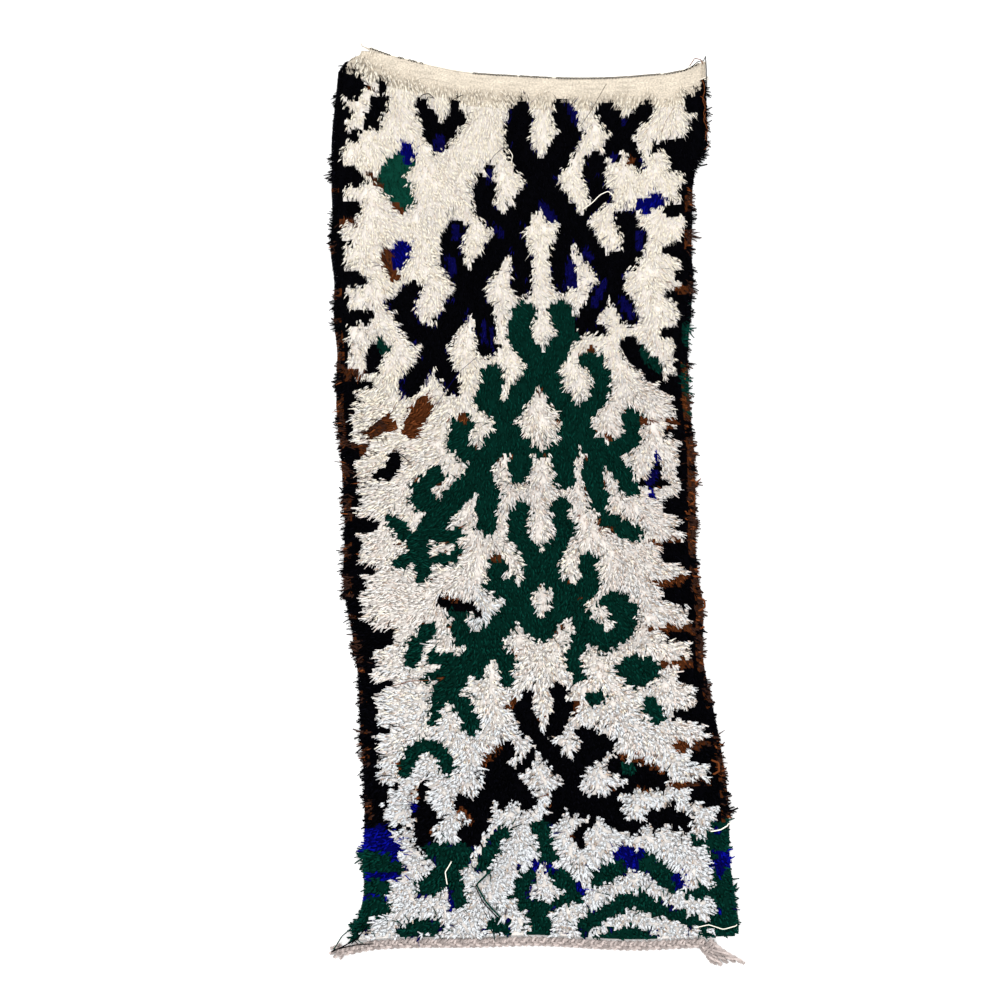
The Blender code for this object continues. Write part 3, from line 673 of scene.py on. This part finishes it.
WEAVE_COLUMNS = 420
RIB = 0.0042
weave_depths = np.linspace(0.0, 0.072, 30)
wx, wy = cloth_grid(WEAVE_COLUMNS, weave_depths)
rib_phase = np.arange(WEAVE_COLUMNS + 1) * math.pi
over_under = np.cos(rib_phase[None, :] + np.arange(30)[:, None] * math.pi)
wz = 0.0031 + 0.00022 * over_under + 0.0008 * smooth_noise(wx, wy, 0.05, 3)
weft = weave_depths[:-1, None] * 1.0
tone = 0.8 * smooth_noise(wx[:-1, :-1] * 0.10, weft + wx[:-1, :-1] * 0.0, 0.008, 4)
tone = tone + 0.4 * smooth_noise(wx[:-1, :-1], wy[:-1, :-1], 0.05, 9)
tone = tone + np.random.default_rng(5).normal(0.0, 0.35, wx[:-1, :-1].shape)
streak = np.select([tone > 1.0, tone > 0.45, tone < -0.7], [2, 1, 3], 0)
heading_weave = slab("heading_weave", wx, wy, wz, streak, HEADING_WOOL)

BED_COLUMNS = 94
HEADING_BED = 0.078
bed_depths = np.linspace(0.050, float(top_at(0.0) - end_at(0.0)), 208)
bx, by = cloth_grid(BED_COLUMNS, bed_depths)
bed_height = BED_HEIGHT + 0.0025 * (colour_at(bx, by) == CREAM) + 0.0018 * rng.uniform(-1, 1, bx.shape)
bed_height[:2] = 0.0036
mid_x = 0.25 * (bx[:-1, :-1] + bx[:-1, 1:] + bx[1:, :-1] + bx[1:, 1:])
mid_y = 0.25 * (by[:-1, :-1] + by[:-1, 1:] + by[1:, :-1] + by[1:, 1:])
bed_pick = colour_at(mid_x, mid_y, fringed=False)
heading_bed = (bed_pick == CREAM) & (mid_y > top_at(mid_x) - HEADING_BED)
bed_pick = np.where(heading_bed, len(COLOURS), bed_pick)
# The roots under the pile take the yarn colours, with green, blue and brown in their darker shades as painted
# shade between the tufts
bed_materials = [WHITE[1], BLACK_WOOL[0], GREEN_WOOL[2], BLUE_WOOL[2], BROWN_WOOL[1], NAVY_WOOL[0], JADE_WOOL[0]]
bed_materials.append(HEADING_WOOL[0])
rug_ground = slab("rug_ground", bx, by, bed_height, bed_pick, bed_materials)
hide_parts("rug_cloth")

# How the pale and dark fields lie, for tips that stray over their edges
FIELD_STEP = 0.005
field_x = np.arange(-0.56, 0.56, FIELD_STEP)
field_y = np.arange(-1.14, 1.16, FIELD_STEP)
gx, gy = np.meshgrid(field_x, field_y)
paleness = (colour_at(gx, gy) == CREAM).astype(float)


def blurred(grid, reach):
    kernel = np.ones(2 * reach + 1) / (2 * reach + 1)
    for axis in (0, 1, 0, 1):
        grid = np.apply_along_axis(lambda row: np.convolve(row, kernel, mode="same"), axis, grid)
    return grid


paleness = 0.55 * blurred(paleness, 3) + 0.9 * blurred(paleness, 6)
pale_slope_y, pale_slope_x = np.gradient(paleness, FIELD_STEP)


def sample_field(grid, x, y):
    column = np.clip((x - field_x[0]) / FIELD_STEP, 0, len(field_x) - 1.001)
    row = np.clip((y - field_y[0]) / FIELD_STEP, 0, len(field_y) - 1.001)
    i, j = row.astype(int), column.astype(int)
    v, u = row - i, column - j
    upper = grid[i, j] * (1 - u) + grid[i, j + 1] * u
    lower = grid[i + 1, j] * (1 - u) + grid[i + 1, j + 1] * u
    return upper * (1 - v) + lower * v


# Pile: tufts of a few strands each, knotted in rows
Zone = namedtuple("Zone", "top bottom pitch_across pitch_along pale dark pointed")
ZONES = [
    Zone(1.13, 0.32, 0.0090, 0.0092, 4, 2, True),
    Zone(0.32, -0.35, 0.0101, 0.0103, 5, 2, False),
    Zone(-0.35, -0.73, 0.0106, 0.0108, 6, 2, False),
    Zone(-0.73, -1.11, 0.0106, 0.0108, 6, 2, False),
]
pile_parts = {name: [] for name in COLOURS}


WISP_SHARE = 0.13            # dark strands that have strayed out over the pale pile
WISP_SLOPE = 12.0


def yarn_radius(y):
    """The yarn gets thicker from the heading down."""
    return np.interp(y, [-1.0, -0.5, -0.2, 0.3, 1.0], [0.0027, 0.0024, 0.0019, 0.0014, 0.00112])


def shade_picks(colour, x, y, draws):
    """Shade of each strand: ivory near the heading, whiter and pinkish further down, in bands."""
    lowness = np.clip((1.0 - y) / 2.0, 0.0, 1.0)
    band = 0.5 + 0.5 * smooth_noise(y, x * 0.15, 0.16, 61)
    whiteness = np.clip(1.35 * lowness + 0.35 * (band - 0.5) + draws.normal(0, 0.12, len(x)), 0, 1)
    dice = draws.random(len(x))
    ivory = np.select([dice < 0.60, dice < 0.90], [0, 1], 2)
    # Place 7 is the dark fifth white: painted shade between the tufts
    white = np.select([dice < 0.56 - 0.2 * band, dice < 0.78, dice < 0.92, dice < 0.97], [3, 4, 5, 6], 7)
    cool = np.select([dice < 0.52, dice < 0.84, dice < 0.96], [8, 9, 10], 7)
    coolness = np.clip((-0.30 - y) / 0.42, 0.0, 1.0)
    for patch_x, patch_y in ((-0.14, -0.27), (0.30, -0.23)):
        coolness = np.maximum(coolness, np.exp(-((x - patch_x) / 0.06) ** 2 - ((y - patch_y) / 0.06) ** 2))
    white = np.where(draws.random(len(x)) < coolness, cool, white)
    pale = np.where(draws.random(len(x)) < whiteness, white, ivory)
    # Painted shade: a patch right of the middle takes darker pale shades, and so does a band across the middle
    painted_shade_right = 0.80 * np.exp(-((x - 0.28) / 0.20) ** 2 - ((y + 0.10) / 0.36) ** 2)
    middle_band = 0.75 * np.exp(-((y - 0.02) / 0.10) ** 2) * np.clip((x + 0.34) / 0.10, 0.0, 1.0)
    darker_picks = np.select([dice < 0.25, dice < 0.50, dice < 0.90], [4, 5, 6], 7)
    pale = np.where(draws.random(len(x)) < np.maximum(painted_shade_right, middle_band), darker_picks, pale)
    next_to_heading = 1.0 - (top_at(x) - heading_depth(x) - y - 0.004) / 0.024
    pale = np.where(draws.random(len(x)) < next_to_heading, np.where(dice < 0.6, 11, 12), pale)
    dark = np.select([dice < 0.6, dice < 0.85], [0, 1], 2)
    dark = np.where((colour == BROWN) & (np.abs(x) > 0.36) & (dice < 0.88), 3, dark)
    return np.where(colour == CREAM, pale, dark)


def add_strands(x, y, lean_x, lean_y, reach, height, droop, colour, girth, pointed):
    total = len(x)
    curl = rng.normal(0.0, 1.0, total) * np.interp(y, [-0.6, 0.3, 1.0], [0.24, 0.17, 0.12]) * reach
    steps = np.array([0.0, 0.42, 1.0])
    rises = np.array([0.0, 0.95, 1.0])
    girths = np.array([0.85, 1.0, 0.0 if pointed else 0.66])
    out = reach[:, None] * steps[None, :]
    bend = curl[:, None] * (steps[None, :] ** 2)
    px = x[:, None] + lean_x[:, None] * out - lean_y[:, None] * bend
    py = y[:, None] + lean_y[:, None] * out + lean_x[:, None] * bend
    pz = 0.0048 + height[:, None] * (rises[None, :] - droop[:, None] * steps[None, :] ** 2.2)
    pz = np.maximum(pz, 0.0026)
    px = np.clip(px, cad_low[0] - 0.004, cad_high[0] + 0.004)
    paths = np.stack([px, py, pz], axis=2)
    radii = girth[:, None] * girths[None, :]
    turns = rng.uniform(0, 2 * math.pi, total)
    picks = shade_picks(colour, x, y, rng)
    for i, name in enumerate(COLOURS):
        mine = colour == i
        if mine.any():
            pile_parts[name].append(
                tubes(paths[mine], radii[mine], 3, picks[mine], pointed=pointed, twist=1.2, turns=turns[mine])
            )


def grow_zone(zone):
    rows = np.arange(zone.top, zone.bottom, -zone.pitch_along)
    columns = np.arange(-0.53, 0.53, zone.pitch_across)
    x, y = np.meshgrid(columns, rows)
    x = x + 0.5 * zone.pitch_across * (np.arange(len(rows)) % 2)[:, None]
    x = (x + rng.uniform(-0.35, 0.35, x.shape) * zone.pitch_across).ravel()
    y = (y + rng.uniform(-0.35, 0.35, (len(rows), len(columns))) * zone.pitch_along).ravel()
    inside = (x > left_at(y) + 0.002) & (x < right_at(y) - 0.002)
    ragged = 0.008 * smooth_noise(x, y * 0, 0.035, 15) + 0.006 * rng.normal(0.0, 1.0, x.shape)
    inside &= (y < top_at(x) - heading_depth(x) + ragged) & (y > end_at(x) + 0.003)
    x, y = x[inside], y[inside]
    lowness = np.clip((1.0 - y) / 2.0, 0.0, 1.0)

    # Lean of each tuft: down the rug, aslant on the left, and out from the middle of each pale field
    aslant = 0.42 * np.clip((0.05 - x) / 0.45, -0.3, 1.0) * (1 - lowness)
    sideways = np.interp(y, [-0.90, -0.60, 0.22, 0.36], [0.55, 1.0, 1.0, 0.0])
    leftward = np.clip((-0.12 - x) / 0.20, 0.0, 1.0)
    rightward = np.clip((x - 0.08) / 0.25, 0.0, 1.0)
    angle = -0.5 * math.pi + aslant * (1 - sideways) + sideways * (0.80 * rightward - 1.50 * leftward)
    angle += 0.35 * smooth_noise(x, y, 0.22, 41)
    angle += rng.normal(0.0, 0.10 + 0.10 * lowness)
    angle = np.where((top_at(x) - heading_depth(x) - y < 0.012) & (rng.random(len(x)) < 0.12), -angle, angle)
    strength = 0.78 - 0.32 * lowness + 0.20 * sideways * leftward
    lean_x, lean_y = np.cos(angle) * strength, np.sin(angle) * strength
    slope_x, slope_y = sample_field(pale_slope_x, x, y), sample_field(pale_slope_y, x, y)
    steep = np.hypot(slope_x, slope_y) + 1e-6
    shown = 0.016
    colour = colour_at(x + lean_x * shown, y + lean_y * shown)
    pale = colour == CREAM
    push = np.where(pale, 0.028 + 0.012 * lowness, -0.004) * (1 - 0.45 * sideways * leftward)
    lean_x = lean_x - push * slope_x
    lean_y = lean_y - push * slope_y * np.where(slope_y < 0, 0.35, 1.0)
    size = np.hypot(lean_x, lean_y)
    shrink = np.minimum(1.0, 1.0 / size)
    lean_x, lean_y = lean_x * shrink, lean_y * shrink
    stopped = np.where(pale & (colour_at(x + lean_x * shown, y + lean_y * shown) != CREAM), 0.60, 1.0)
    overhang = (top_at(x) - heading_depth(x) - y < 0.010) & (x > -0.40) & (x < 0.35)
    colour = np.where(overhang & (rng.random(len(x)) < 0.65), CREAM, colour)
    pale = colour == CREAM

    # The outermost tufts lie out over the selvedge
    for edge, outward in ((left_at(y), -1.0), (right_at(y), 1.0)):
        near = np.clip(1.0 - np.abs(x - edge) / 0.022, 0.0, 1.0)
        lean_x = lean_x * (1 - 0.6 * near) + outward * 0.70 * near
        lean_y = lean_y * (1 - 0.5 * near)
    end_near = np.clip(1.0 - np.abs(y - end_at(x)) / 0.03, 0.0, 1.0)
    lean_y = lean_y * (1 - 0.45 * end_near)

    count = np.where(pale, zone.pale, zone.dark)
    x, y, colour, lowness, lean_x, lean_y, stopped, slope_x, slope_y, steep = (
        np.repeat(a, count)
        for a in (x, y, colour, lowness, lean_x, lean_y, stopped, slope_x, slope_y, steep)
    )
    total = len(x)
    pale = colour == CREAM
    spread = 0.07 + 0.05 * lowness
    wisp = ~pale & (steep > WISP_SLOPE) & (rng.random(total) < WISP_SHARE)
    lean_x = np.where(wisp, 0.9 * slope_x / steep, lean_x) + rng.normal(0.0, 1.0, total) * spread
    lean_y = np.where(wisp, 0.9 * slope_y / steep, lean_y) + rng.normal(0.0, 1.0, total) * spread
    length = np.where(pale, np.interp(y, [-0.6, 0.2], [0.0225, 0.0250]), 0.0260)
    reach = length * stopped * rng.uniform(0.62, 1.15, total)
    heading_near = np.clip(1.0 - (top_at(x) - heading_depth(x) - y) / 0.03, 0.0, 1.0)
    reach *= 1.0 - 0.35 * heading_near
    x = x + rng.normal(0.0, 0.0019, total)
    y = y + rng.normal(0.0, 0.0019, total)
    height = np.where(pale, rng.uniform(0.0110, 0.0170, total), rng.uniform(0.007, 0.0140, total))
    height = np.where(wisp, rng.uniform(0.015, 0.019, total), height)
    height *= 1.0 - 0.60 * heading_near
    at_rim = np.clip(1.0 - np.minimum(x - left_at(y), right_at(y) - x) / 0.014, 0.0, 1.0)
    height *= 1.0 - 0.45 * at_rim
    droop = np.maximum(rng.uniform(0.15, 0.60, total), 0.95 * at_rim)
    girth = yarn_radius(y) * rng.uniform(0.8, 1.2, total) * np.where(wisp, 0.6, 1.0)
    add_strands(x, y, lean_x, lean_y, reach, height, droop, colour, girth, zone.pointed)


def grow_rim(side):
    """Locks of the outermost knots, out over the selvedge."""
    outward = -1.0 if side == "left" else 1.0
    y = np.repeat(np.arange(1.075, -1.05, -0.0034), 2)
    y = y + rng.uniform(-0.002, 0.002, len(y))
    edge = left_at(y) if side == "left" else right_at(y)
    seed = 81 if side == "left" else 82
    lock = smooth_noise(y, y * 0, 0.030, seed)
    kept = rng.random(len(y)) < 0.62 + 0.40 * lock
    kept &= y < top_at(edge) - heading_depth(edge)
    y, edge, lock = y[kept], edge[kept], lock[kept]
    x = edge - outward * rng.uniform(0.000, 0.007, len(y))
    colour = colour_at(edge - outward * 0.006, y)
    angle = rng.normal(0.0, 0.28, len(y)) - 0.25 + 0.5 * smooth_noise(y, y * 0, 0.05, seed + 4)
    reach = (0.0140 + 0.0100 * lock) * rng.uniform(0.70, 1.20, len(y))
    height = rng.uniform(0.0045, 0.0080, len(y))
    droop = rng.uniform(0.6, 0.98, len(y))
    girth = np.interp(y, [-0.5, 0.8], [0.0026, 0.0019]) * rng.uniform(0.8, 1.25, len(y))
    add_strands(x, y, outward * np.cos(angle), np.sin(angle), reach, height, droop, colour, girth, False)


for zone in ZONES:
    grow_zone(zone)
for side in ("left", "right"):
    grow_rim(side)

MOST_FACES = 92000
for i, name in enumerate(COLOURS):
    everything = joined(pile_parts[name])
    if len(everything[2]) <= MOST_FACES:
        mesh_piece(f"pile_{name}", *everything, YARNS[i])
        continue
    for n in range(len(ZONES)):
        parts = [pile_parts[name][n], *(pile_parts[name][len(ZONES):] if n == 1 else [])]
        mesh_piece(f"pile_{name}_{n + 1}", *joined(parts), YARNS[i])

# Selvedges: yarn wrapped over the outermost warps
WRAP_PITCH = 0.0040
TUCKED = 0.0016              # the wraps bite into the edge of the cloth


def wraps(side):
    outward = -1.0 if side == "left" else 1.0
    draws = np.random.default_rng(71 if side == "left" else 72)
    y = np.arange(1.085, -1.055, -WRAP_PITCH)
    edge = left_at(y) if side == "left" else right_at(y)
    slope = np.gradient(edge, y)
    steps = np.linspace(0.0, math.pi, 6)
    half = 0.5 * SELVEDGE_WIDTH - 0.0016
    core = edge + outward * (0.5 * SELVEDGE_WIDTH - TUCKED)
    swell = 1.0 + draws.uniform(-0.12, 0.10, len(y))
    out = outward * half * -np.cos(steps)[None, :] * swell[:, None]
    px = core[:, None] + out
    py = y[:, None] + slope[:, None] * 0 + 0.0014 * np.cos(steps)[None, :]
    pz = 0.0018 + (SELVEDGE_HEIGHT - 0.0036) * np.sin(steps)[None, :] * swell[:, None]
    paths = np.stack([px, py, pz], axis=2)
    radii = np.full(px.shape, 0.0020) * draws.uniform(0.9, 1.1, len(y))[:, None]
    knots = colour_at(edge - outward * 0.004, y)
    picks = np.select([knots == BROWN, knots == GREEN, knots == BLUE], [1, 2, 3], 0)
    picks = np.where((y > top_at(edge) - heading_depth(edge)) & (outward > 0), 4, picks)
    made = mesh_piece(
        f"{side}_overcast", *tubes(paths, radii, 5, picks),
        [BLACK_WOOL[1], BROWN_WOOL[1], GREEN_WOOL[0], BLUE_WOOL[1], HEADING_WOOL[0]],
    )
    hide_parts(f"selvedge_{side}")
    return made


overcasts = [wraps("left"), wraps("right")]


# Plait along the end: three strands, each of two plies
def plied(middle, radius, plies, turn_pitch, sides, pick_of):
    """Plies twisted round a line of points."""
    length = np.concatenate([[0.0], np.cumsum(np.linalg.norm(np.diff(middle, axis=0), axis=1))])
    ahead = np.gradient(middle, axis=0)
    ahead /= np.linalg.norm(ahead, axis=1, keepdims=True)
    side = np.stack([-ahead[:, 1], ahead[:, 0], np.zeros(len(middle))], axis=1)
    side /= np.linalg.norm(side, axis=1, keepdims=True) + 1e-9
    up = np.cross(side, ahead)
    parts = []
    for ply in range(plies):
        angle = 2 * math.pi * (length / turn_pitch + ply / plies)
        offset = np.cos(angle)[:, None] * side + np.sin(angle)[:, None] * up
        path = middle + 0.48 * radius * offset
        radii = np.full((1, len(middle)), 0.58 * radius)
        radii[0, 0] *= 0.8
        radii[0, -1] *= 0.7
        parts.append(tubes(path[None], radii, sides, np.array([pick_of(ply)])))
    return parts


plait_x = np.arange(PLAIT_START, PLAIT_STOP, 0.0026)
plait_y = end_at(plait_x) - PLAIT_REACH - 0.010 * np.clip((-0.41 - plait_x) / 0.08, 0.0, 1.0)
plait_parts = []
for strand in range(3):
    phase = 2 * math.pi * (plait_x / 0.047 + strand / 3)
    middle = np.stack(
        [plait_x, plait_y + 0.0078 * np.sin(phase), 0.0076 + 0.0024 * np.sin(2 * phase)], axis=1
    )
    plait_parts += plied(middle, 0.0052, 2, 0.021, 6, lambda ply: (ply + strand) % 3)
plait = mesh_piece("warp_plait", *joined(plait_parts), PINK_WOOL)
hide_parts("end_plait")

# Warp ends: a tassel at the right corner and a few strands at the left one
Strand = namedtuple("Strand", "length turn bend")
TASSEL_STRANDS = [
    Strand(0.040, -12, 6),
    Strand(0.050, -14, 4),
    Strand(0.060, -8, 4),
    Strand(0.066, 6, 0),
    Strand(0.078, 18, -4),
    Strand(0.098, 24, -8),
]
CORNER_STRANDS = [
    Strand(0.022, -14, -10),
    Strand(0.031, -5, -6),
    Strand(0.027, 6, 6),
    Strand(0.018, 20, 20),
]
TASSEL_MIDDLE = (0.4165, -1.0800)
CORNER_MIDDLE = (-0.4785, -1.0905)


def fan(name, middle, facing, pitch, radius, strands, wound, node):
    """Yarn ends that lie on the floor, side by side at their roots."""
    out = math.radians(facing)
    side = np.array([-math.sin(out), math.cos(out)])
    parts = []
    for n, strand in enumerate(strands):
        start = np.array(middle) + side * (n - 0.5 * (len(strands) - 1)) * pitch
        start = start - 0.004 * np.array([math.cos(out), math.sin(out)])
        steps = 14
        place = start.copy()
        lift = 0.7 * radius * (n % 2)
        line = [[*place, 1.25 * radius + lift]]
        for step in range(1, steps + 1):
            share = step / steps
            angle = out + math.radians(strand.turn * min(1.0, share * 1.4) + strand.bend * share ** 2)
            place = place + (strand.length + 0.006) / steps * np.array([math.cos(angle), math.sin(angle)])
            line.append([*place, (1.25 - 0.19 * share) * radius + lift * (1 - share)])
        parts += plied(np.array(line), radius, 2, 0.030, 6, lambda ply: (ply + n) % 3)
    for turn in range(wound):
        over = np.linspace(-1.0, 1.0, 9)
        wide = 0.5 * pitch * len(strands) + 0.5 * radius
        ahead = 0.004 + 0.0075 * turn
        band = np.array(middle)[None, :] + side[None, :] * (wide * over)[:, None]
        band = band + ahead * np.array([math.cos(out), math.sin(out)])[None, :]
        rise = 0.6 * radius + 2.2 * radius * np.sqrt(1.0 - 0.98 * over ** 2)
        parts += plied(np.column_stack([band, rise]), 0.75 * radius, 2, 0.020, 6, lambda ply: ply)
    made = mesh_piece(name, *joined(parts), PINK_WOOL)
    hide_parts(node)
    return made


tassel = fan("warp_tassel", TASSEL_MIDDLE, -48, 0.0056, 0.0058, TASSEL_STRANDS, 2, "end_tassel")
corner = fan("warp_corner", CORNER_MIDDLE, 214, 0.0075, 0.0043, CORNER_STRANDS, 0, "corner_strands")

# Heading edge: a pale cord with dark stitches worked over it in stretches
cord_x = np.arange(-0.411, float(top_right[0]) - 0.005, 0.0025)
cord_line = np.stack([cord_x, top_at(cord_x) + 0.0024, np.full(len(cord_x), 0.0021)], axis=1)
heading_cord = mesh_piece(
    "heading_cord", *joined(plied(cord_line, 0.0021, 2, 0.009, 5, lambda ply: ply)), IVORY
)
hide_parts("heading_yarn")

DARK_STRETCHES = [(-41.0, -36.5), (-34.2, -33.0), (-31.6, -29.9), (-28.8, -28.2), (-15.8, -5.2),
                  (-4.4, 3.5), (4.6, 14.0), (15.0, 21.5), (22.4, 30.0), (31.0, 39.6)]
stitch_paths = []
for start, stop in DARK_STRETCHES:
    for x in np.arange(start * CM, stop * CM, 0.0072):
        x = x + rng.uniform(-0.0012, 0.0012)
        spot = np.array([x, x + 0.0022, x + 0.0052, x + 0.0076])
        y = top_at(spot) + np.array([-0.0012, 0.0022, 0.0030, 0.0002])
        stitch_paths.append(np.stack([spot, y, [0.0034, 0.0052, 0.0050, 0.0034]], axis=1))
stitch_paths = np.array(stitch_paths)
stitches = mesh_piece(
    "edge_stitches",
    *tubes(stitch_paths, np.full(stitch_paths.shape[:2], 0.0010), 5, np.zeros(len(stitch_paths), int)),
    [BLACK_WOOL[1]],
)

# Loose yarns that have worked their way out of the pile
Stray = namedtuple("Stray", "colour girth points")
STRAYS = [
    Stray("black", 0.0010, [(-29, 98.6), (-28.2, 100.2), (-26.6, 100.6), (-25.4, 99.6)]),
    Stray("black", 0.0009, [(-27.4, 98.6), (-26.6, 99.8), (-25.2, 99.4)]),
    Stray("black", 0.0010, [(-21.6, 98), (-20.4, 99.2), (-18.2, 100.2)]),
    Stray("black", 0.0009, [(-20.6, 98), (-19.4, 99.6), (-19.6, 100.8)]),
    Stray("black", 0.0009, [(-38.4, 102), (-37.6, 104.2), (-38.6, 105.2)]),
    Stray("black", 0.0009, [(-37.4, 101.6), (-36.4, 103.4), (-36.6, 104.6)]),
    Stray("black", 0.0007, [(10.5, 92.5), (13, 96), (15, 99.5), (17, 103)]),
    Stray("black", 0.0006, [(-8, 87.5), (-10.5, 85.5), (-12, 83), (-11, 81.5)]),
    Stray("cream", 0.0011, [(11, 72), (13.5, 73.8), (15.4, 75.8), (17.4, 76.7), (18.8, 75.4)]),
    Stray("cream", 0.0010, [(-7, 87), (-6, 85.5), (-6.3, 83.6)]),
    Stray("green", 0.0022, [(-11.3, -89.5), (-14.9, -93), (-12.6, -97.2), (-9, -101)]),
    Stray("black", 0.0015, [(-12.2, -90.6), (-15.2, -93.4), (-13.2, -97.4), (-9.8, -101)]),
    Stray("cream", 0.0014, [(-21, -87.5), (-22.5, -90), (-22, -93)]),
    Stray("cream", 0.0016, [(42.5, -80), (45, -79.6), (47.5, -78)]),
    Stray("cream", 0.0012, [(38.5, -103.6), (42, -102.8), (45.5, -104), (49, -103)]),
    Stray("brown", 0.0009, [(-35.5, -44.5), (-31, -43.2), (-26.5, -43)]),
    Stray("brown", 0.0010, [(40.4, 104), (41.3, 101.5), (40.2, 99), (41.8, 96.5), (40.4, 94), (42.2, 92),
                            (40.8, 90), (42.6, 88.3), (41, 87)]),
    Stray("brown", 0.0008, [(40, 100), (41.6, 98.4), (40.6, 95.5), (41.9, 93.6), (41.2, 91.4), (42.2, 89.8)]),
    Stray("black", 0.0012, [(41.3, 110), (41.5, 107), (41.6, 104.5), (41.6, 102.5)]),
    Stray("brown", 0.0012, [(37.4, 107.4), (38.6, 109.2), (40, 108.9), (40.6, 107.8)]),
    Stray("black", 0.0011, [(38, 107.2), (39.4, 108.4), (40.8, 108.6), (41.3, 109.8)]),
    Stray("brown", 0.0024, [(39.4, -22.8), (41, -23.4), (41.2, -25.2), (39.6, -26)]),
    Stray("brown", 0.0024, [(42.8, -62.6), (44.4, -63.2), (44.6, -65.2), (43.2, -66)]),
    Stray("brown", 0.0020, [(37.4, 3), (38.6, 2.4), (38.7, 0.8), (37.6, 0)]),
    Stray("black", 0.0022, [(46, -74.6), (47.6, -75.2), (49.4, -74.4)]),
    Stray("black", 0.0020, [(38.6, 84.2), (40, 83), (41.8, 83.4)]),
    Stray("black", 0.0012, [(-35.2, 13.4), (-33.2, 12), (-31.4, 10.6)]),
    Stray("black", 0.0009, [(-35.6, 11.8), (-34, 10.6), (-32.6, 9.6)]),
    Stray("brown", 0.0005, [(30.4, 90.6), (31.4, 93.6), (33.6, 97.2)]),
    Stray("navy", 0.0006, [(-26, 22), (-23, 27), (-19, 32.5), (-14.8, 36)]),
    Stray("black", 0.0017, [(-41, -102.5), (-44, -106.2), (-47, -108), (-50.4, -109.6)]),
    Stray("black", 0.0014, [(-40, -107.6), (-44, -107.8), (-47, -108.4), (-50, -109.2)]),
    Stray("green", 0.0016, [(-45, -103.5), (-47.8, -105.8), (-49.8, -109)]),
]
STRAY_POINTS = 28
for i, name in enumerate(COLOURS):
    parts = []
    for stray in [s for s in STRAYS if s.colour == name]:
        spots = np.array(stray.points, dtype=float) * CM
        share = np.linspace(0, 1, STRAY_POINTS)
        known = np.linspace(0, 1, len(spots))
        line_x = np.interp(share, known, spots[:, 0])
        line_y = np.interp(share, known, spots[:, 1])
        for _ in range(2):
            line_x[1:-1] = (line_x[:-2] + 2 * line_x[1:-1] + line_x[2:]) / 4
            line_y[1:-1] = (line_y[:-2] + 2 * line_y[1:-1] + line_y[2:]) / 4
        line_z = 0.0235 + 0.0015 * np.sin(share * 9)
        line_z[0] = 0.014
        line_z[-1] = 0.018
        inside = (line_x > left_at(line_y) - 0.004) & (line_x < right_at(line_y) + 0.004)
        line_z = np.where(inside, line_z, 0.009)
        line_z = np.where(line_y < end_at(line_x) - 0.004, 0.0172, line_z)
        radii = np.full((1, STRAY_POINTS), stray.girth)
        path = np.stack([line_x, line_y, line_z], axis=1)[None]
        parts.append(tubes(path, radii, 5, np.array([0])))
    if parts:
        made = mesh_piece(f"stray_{name}", *joined(parts), YARNS[i][:1])

# Floor, light and camera
floor_mesh = bpy.data.meshes.new("studio_floor")
floor_mesh.from_pydata([(-14, -14, 0), (14, -14, 0), (14, 14, 0), (-14, 14, 0)], [], [(0, 1, 2, 3)])
floor = bpy.data.objects.new("studio_floor", floor_mesh)
floor_mesh.materials.append(wool("floor_white", (0.90, 0.90, 0.90), rough=1.0, shine=0.0))
bpy.context.scene.collection.objects.link(floor)

world = bpy.data.worlds.new("studio")
world.use_nodes = True
world.node_tree.nodes["Background"].inputs["Color"].default_value = (1.0, 1.0, 1.0, 1.0)
world.node_tree.nodes["Background"].inputs["Strength"].default_value = 1.56
bpy.context.scene.world = world
key = bpy.data.lights.new("key", "SUN")
key.energy = 0.9
key.angle = math.radians(35)
key_light = bpy.data.objects.new("key", key)
key_light.rotation_euler = (math.radians(-28), math.radians(-22), 0.0)
bpy.context.scene.collection.objects.link(key_light)
bpy.context.scene.view_settings.view_transform = "Standard"

FRAME_WIDTH = 2.45           # metres of floor across the photograph
PICTURE_MIDDLE = (-0.0907, 0.0110)
camera_data = bpy.data.cameras.new("camera")
camera_data.lens = 100.0
camera_data.sensor_width = 36.0
camera = bpy.data.objects.new("camera", camera_data)
distance = 0.5 * FRAME_WIDTH / (0.5 * camera_data.sensor_width / camera_data.lens)
camera.location = (*PICTURE_MIDDLE, distance + 0.015)
bpy.context.scene.collection.objects.link(camera)
bpy.context.scene.camera = camera
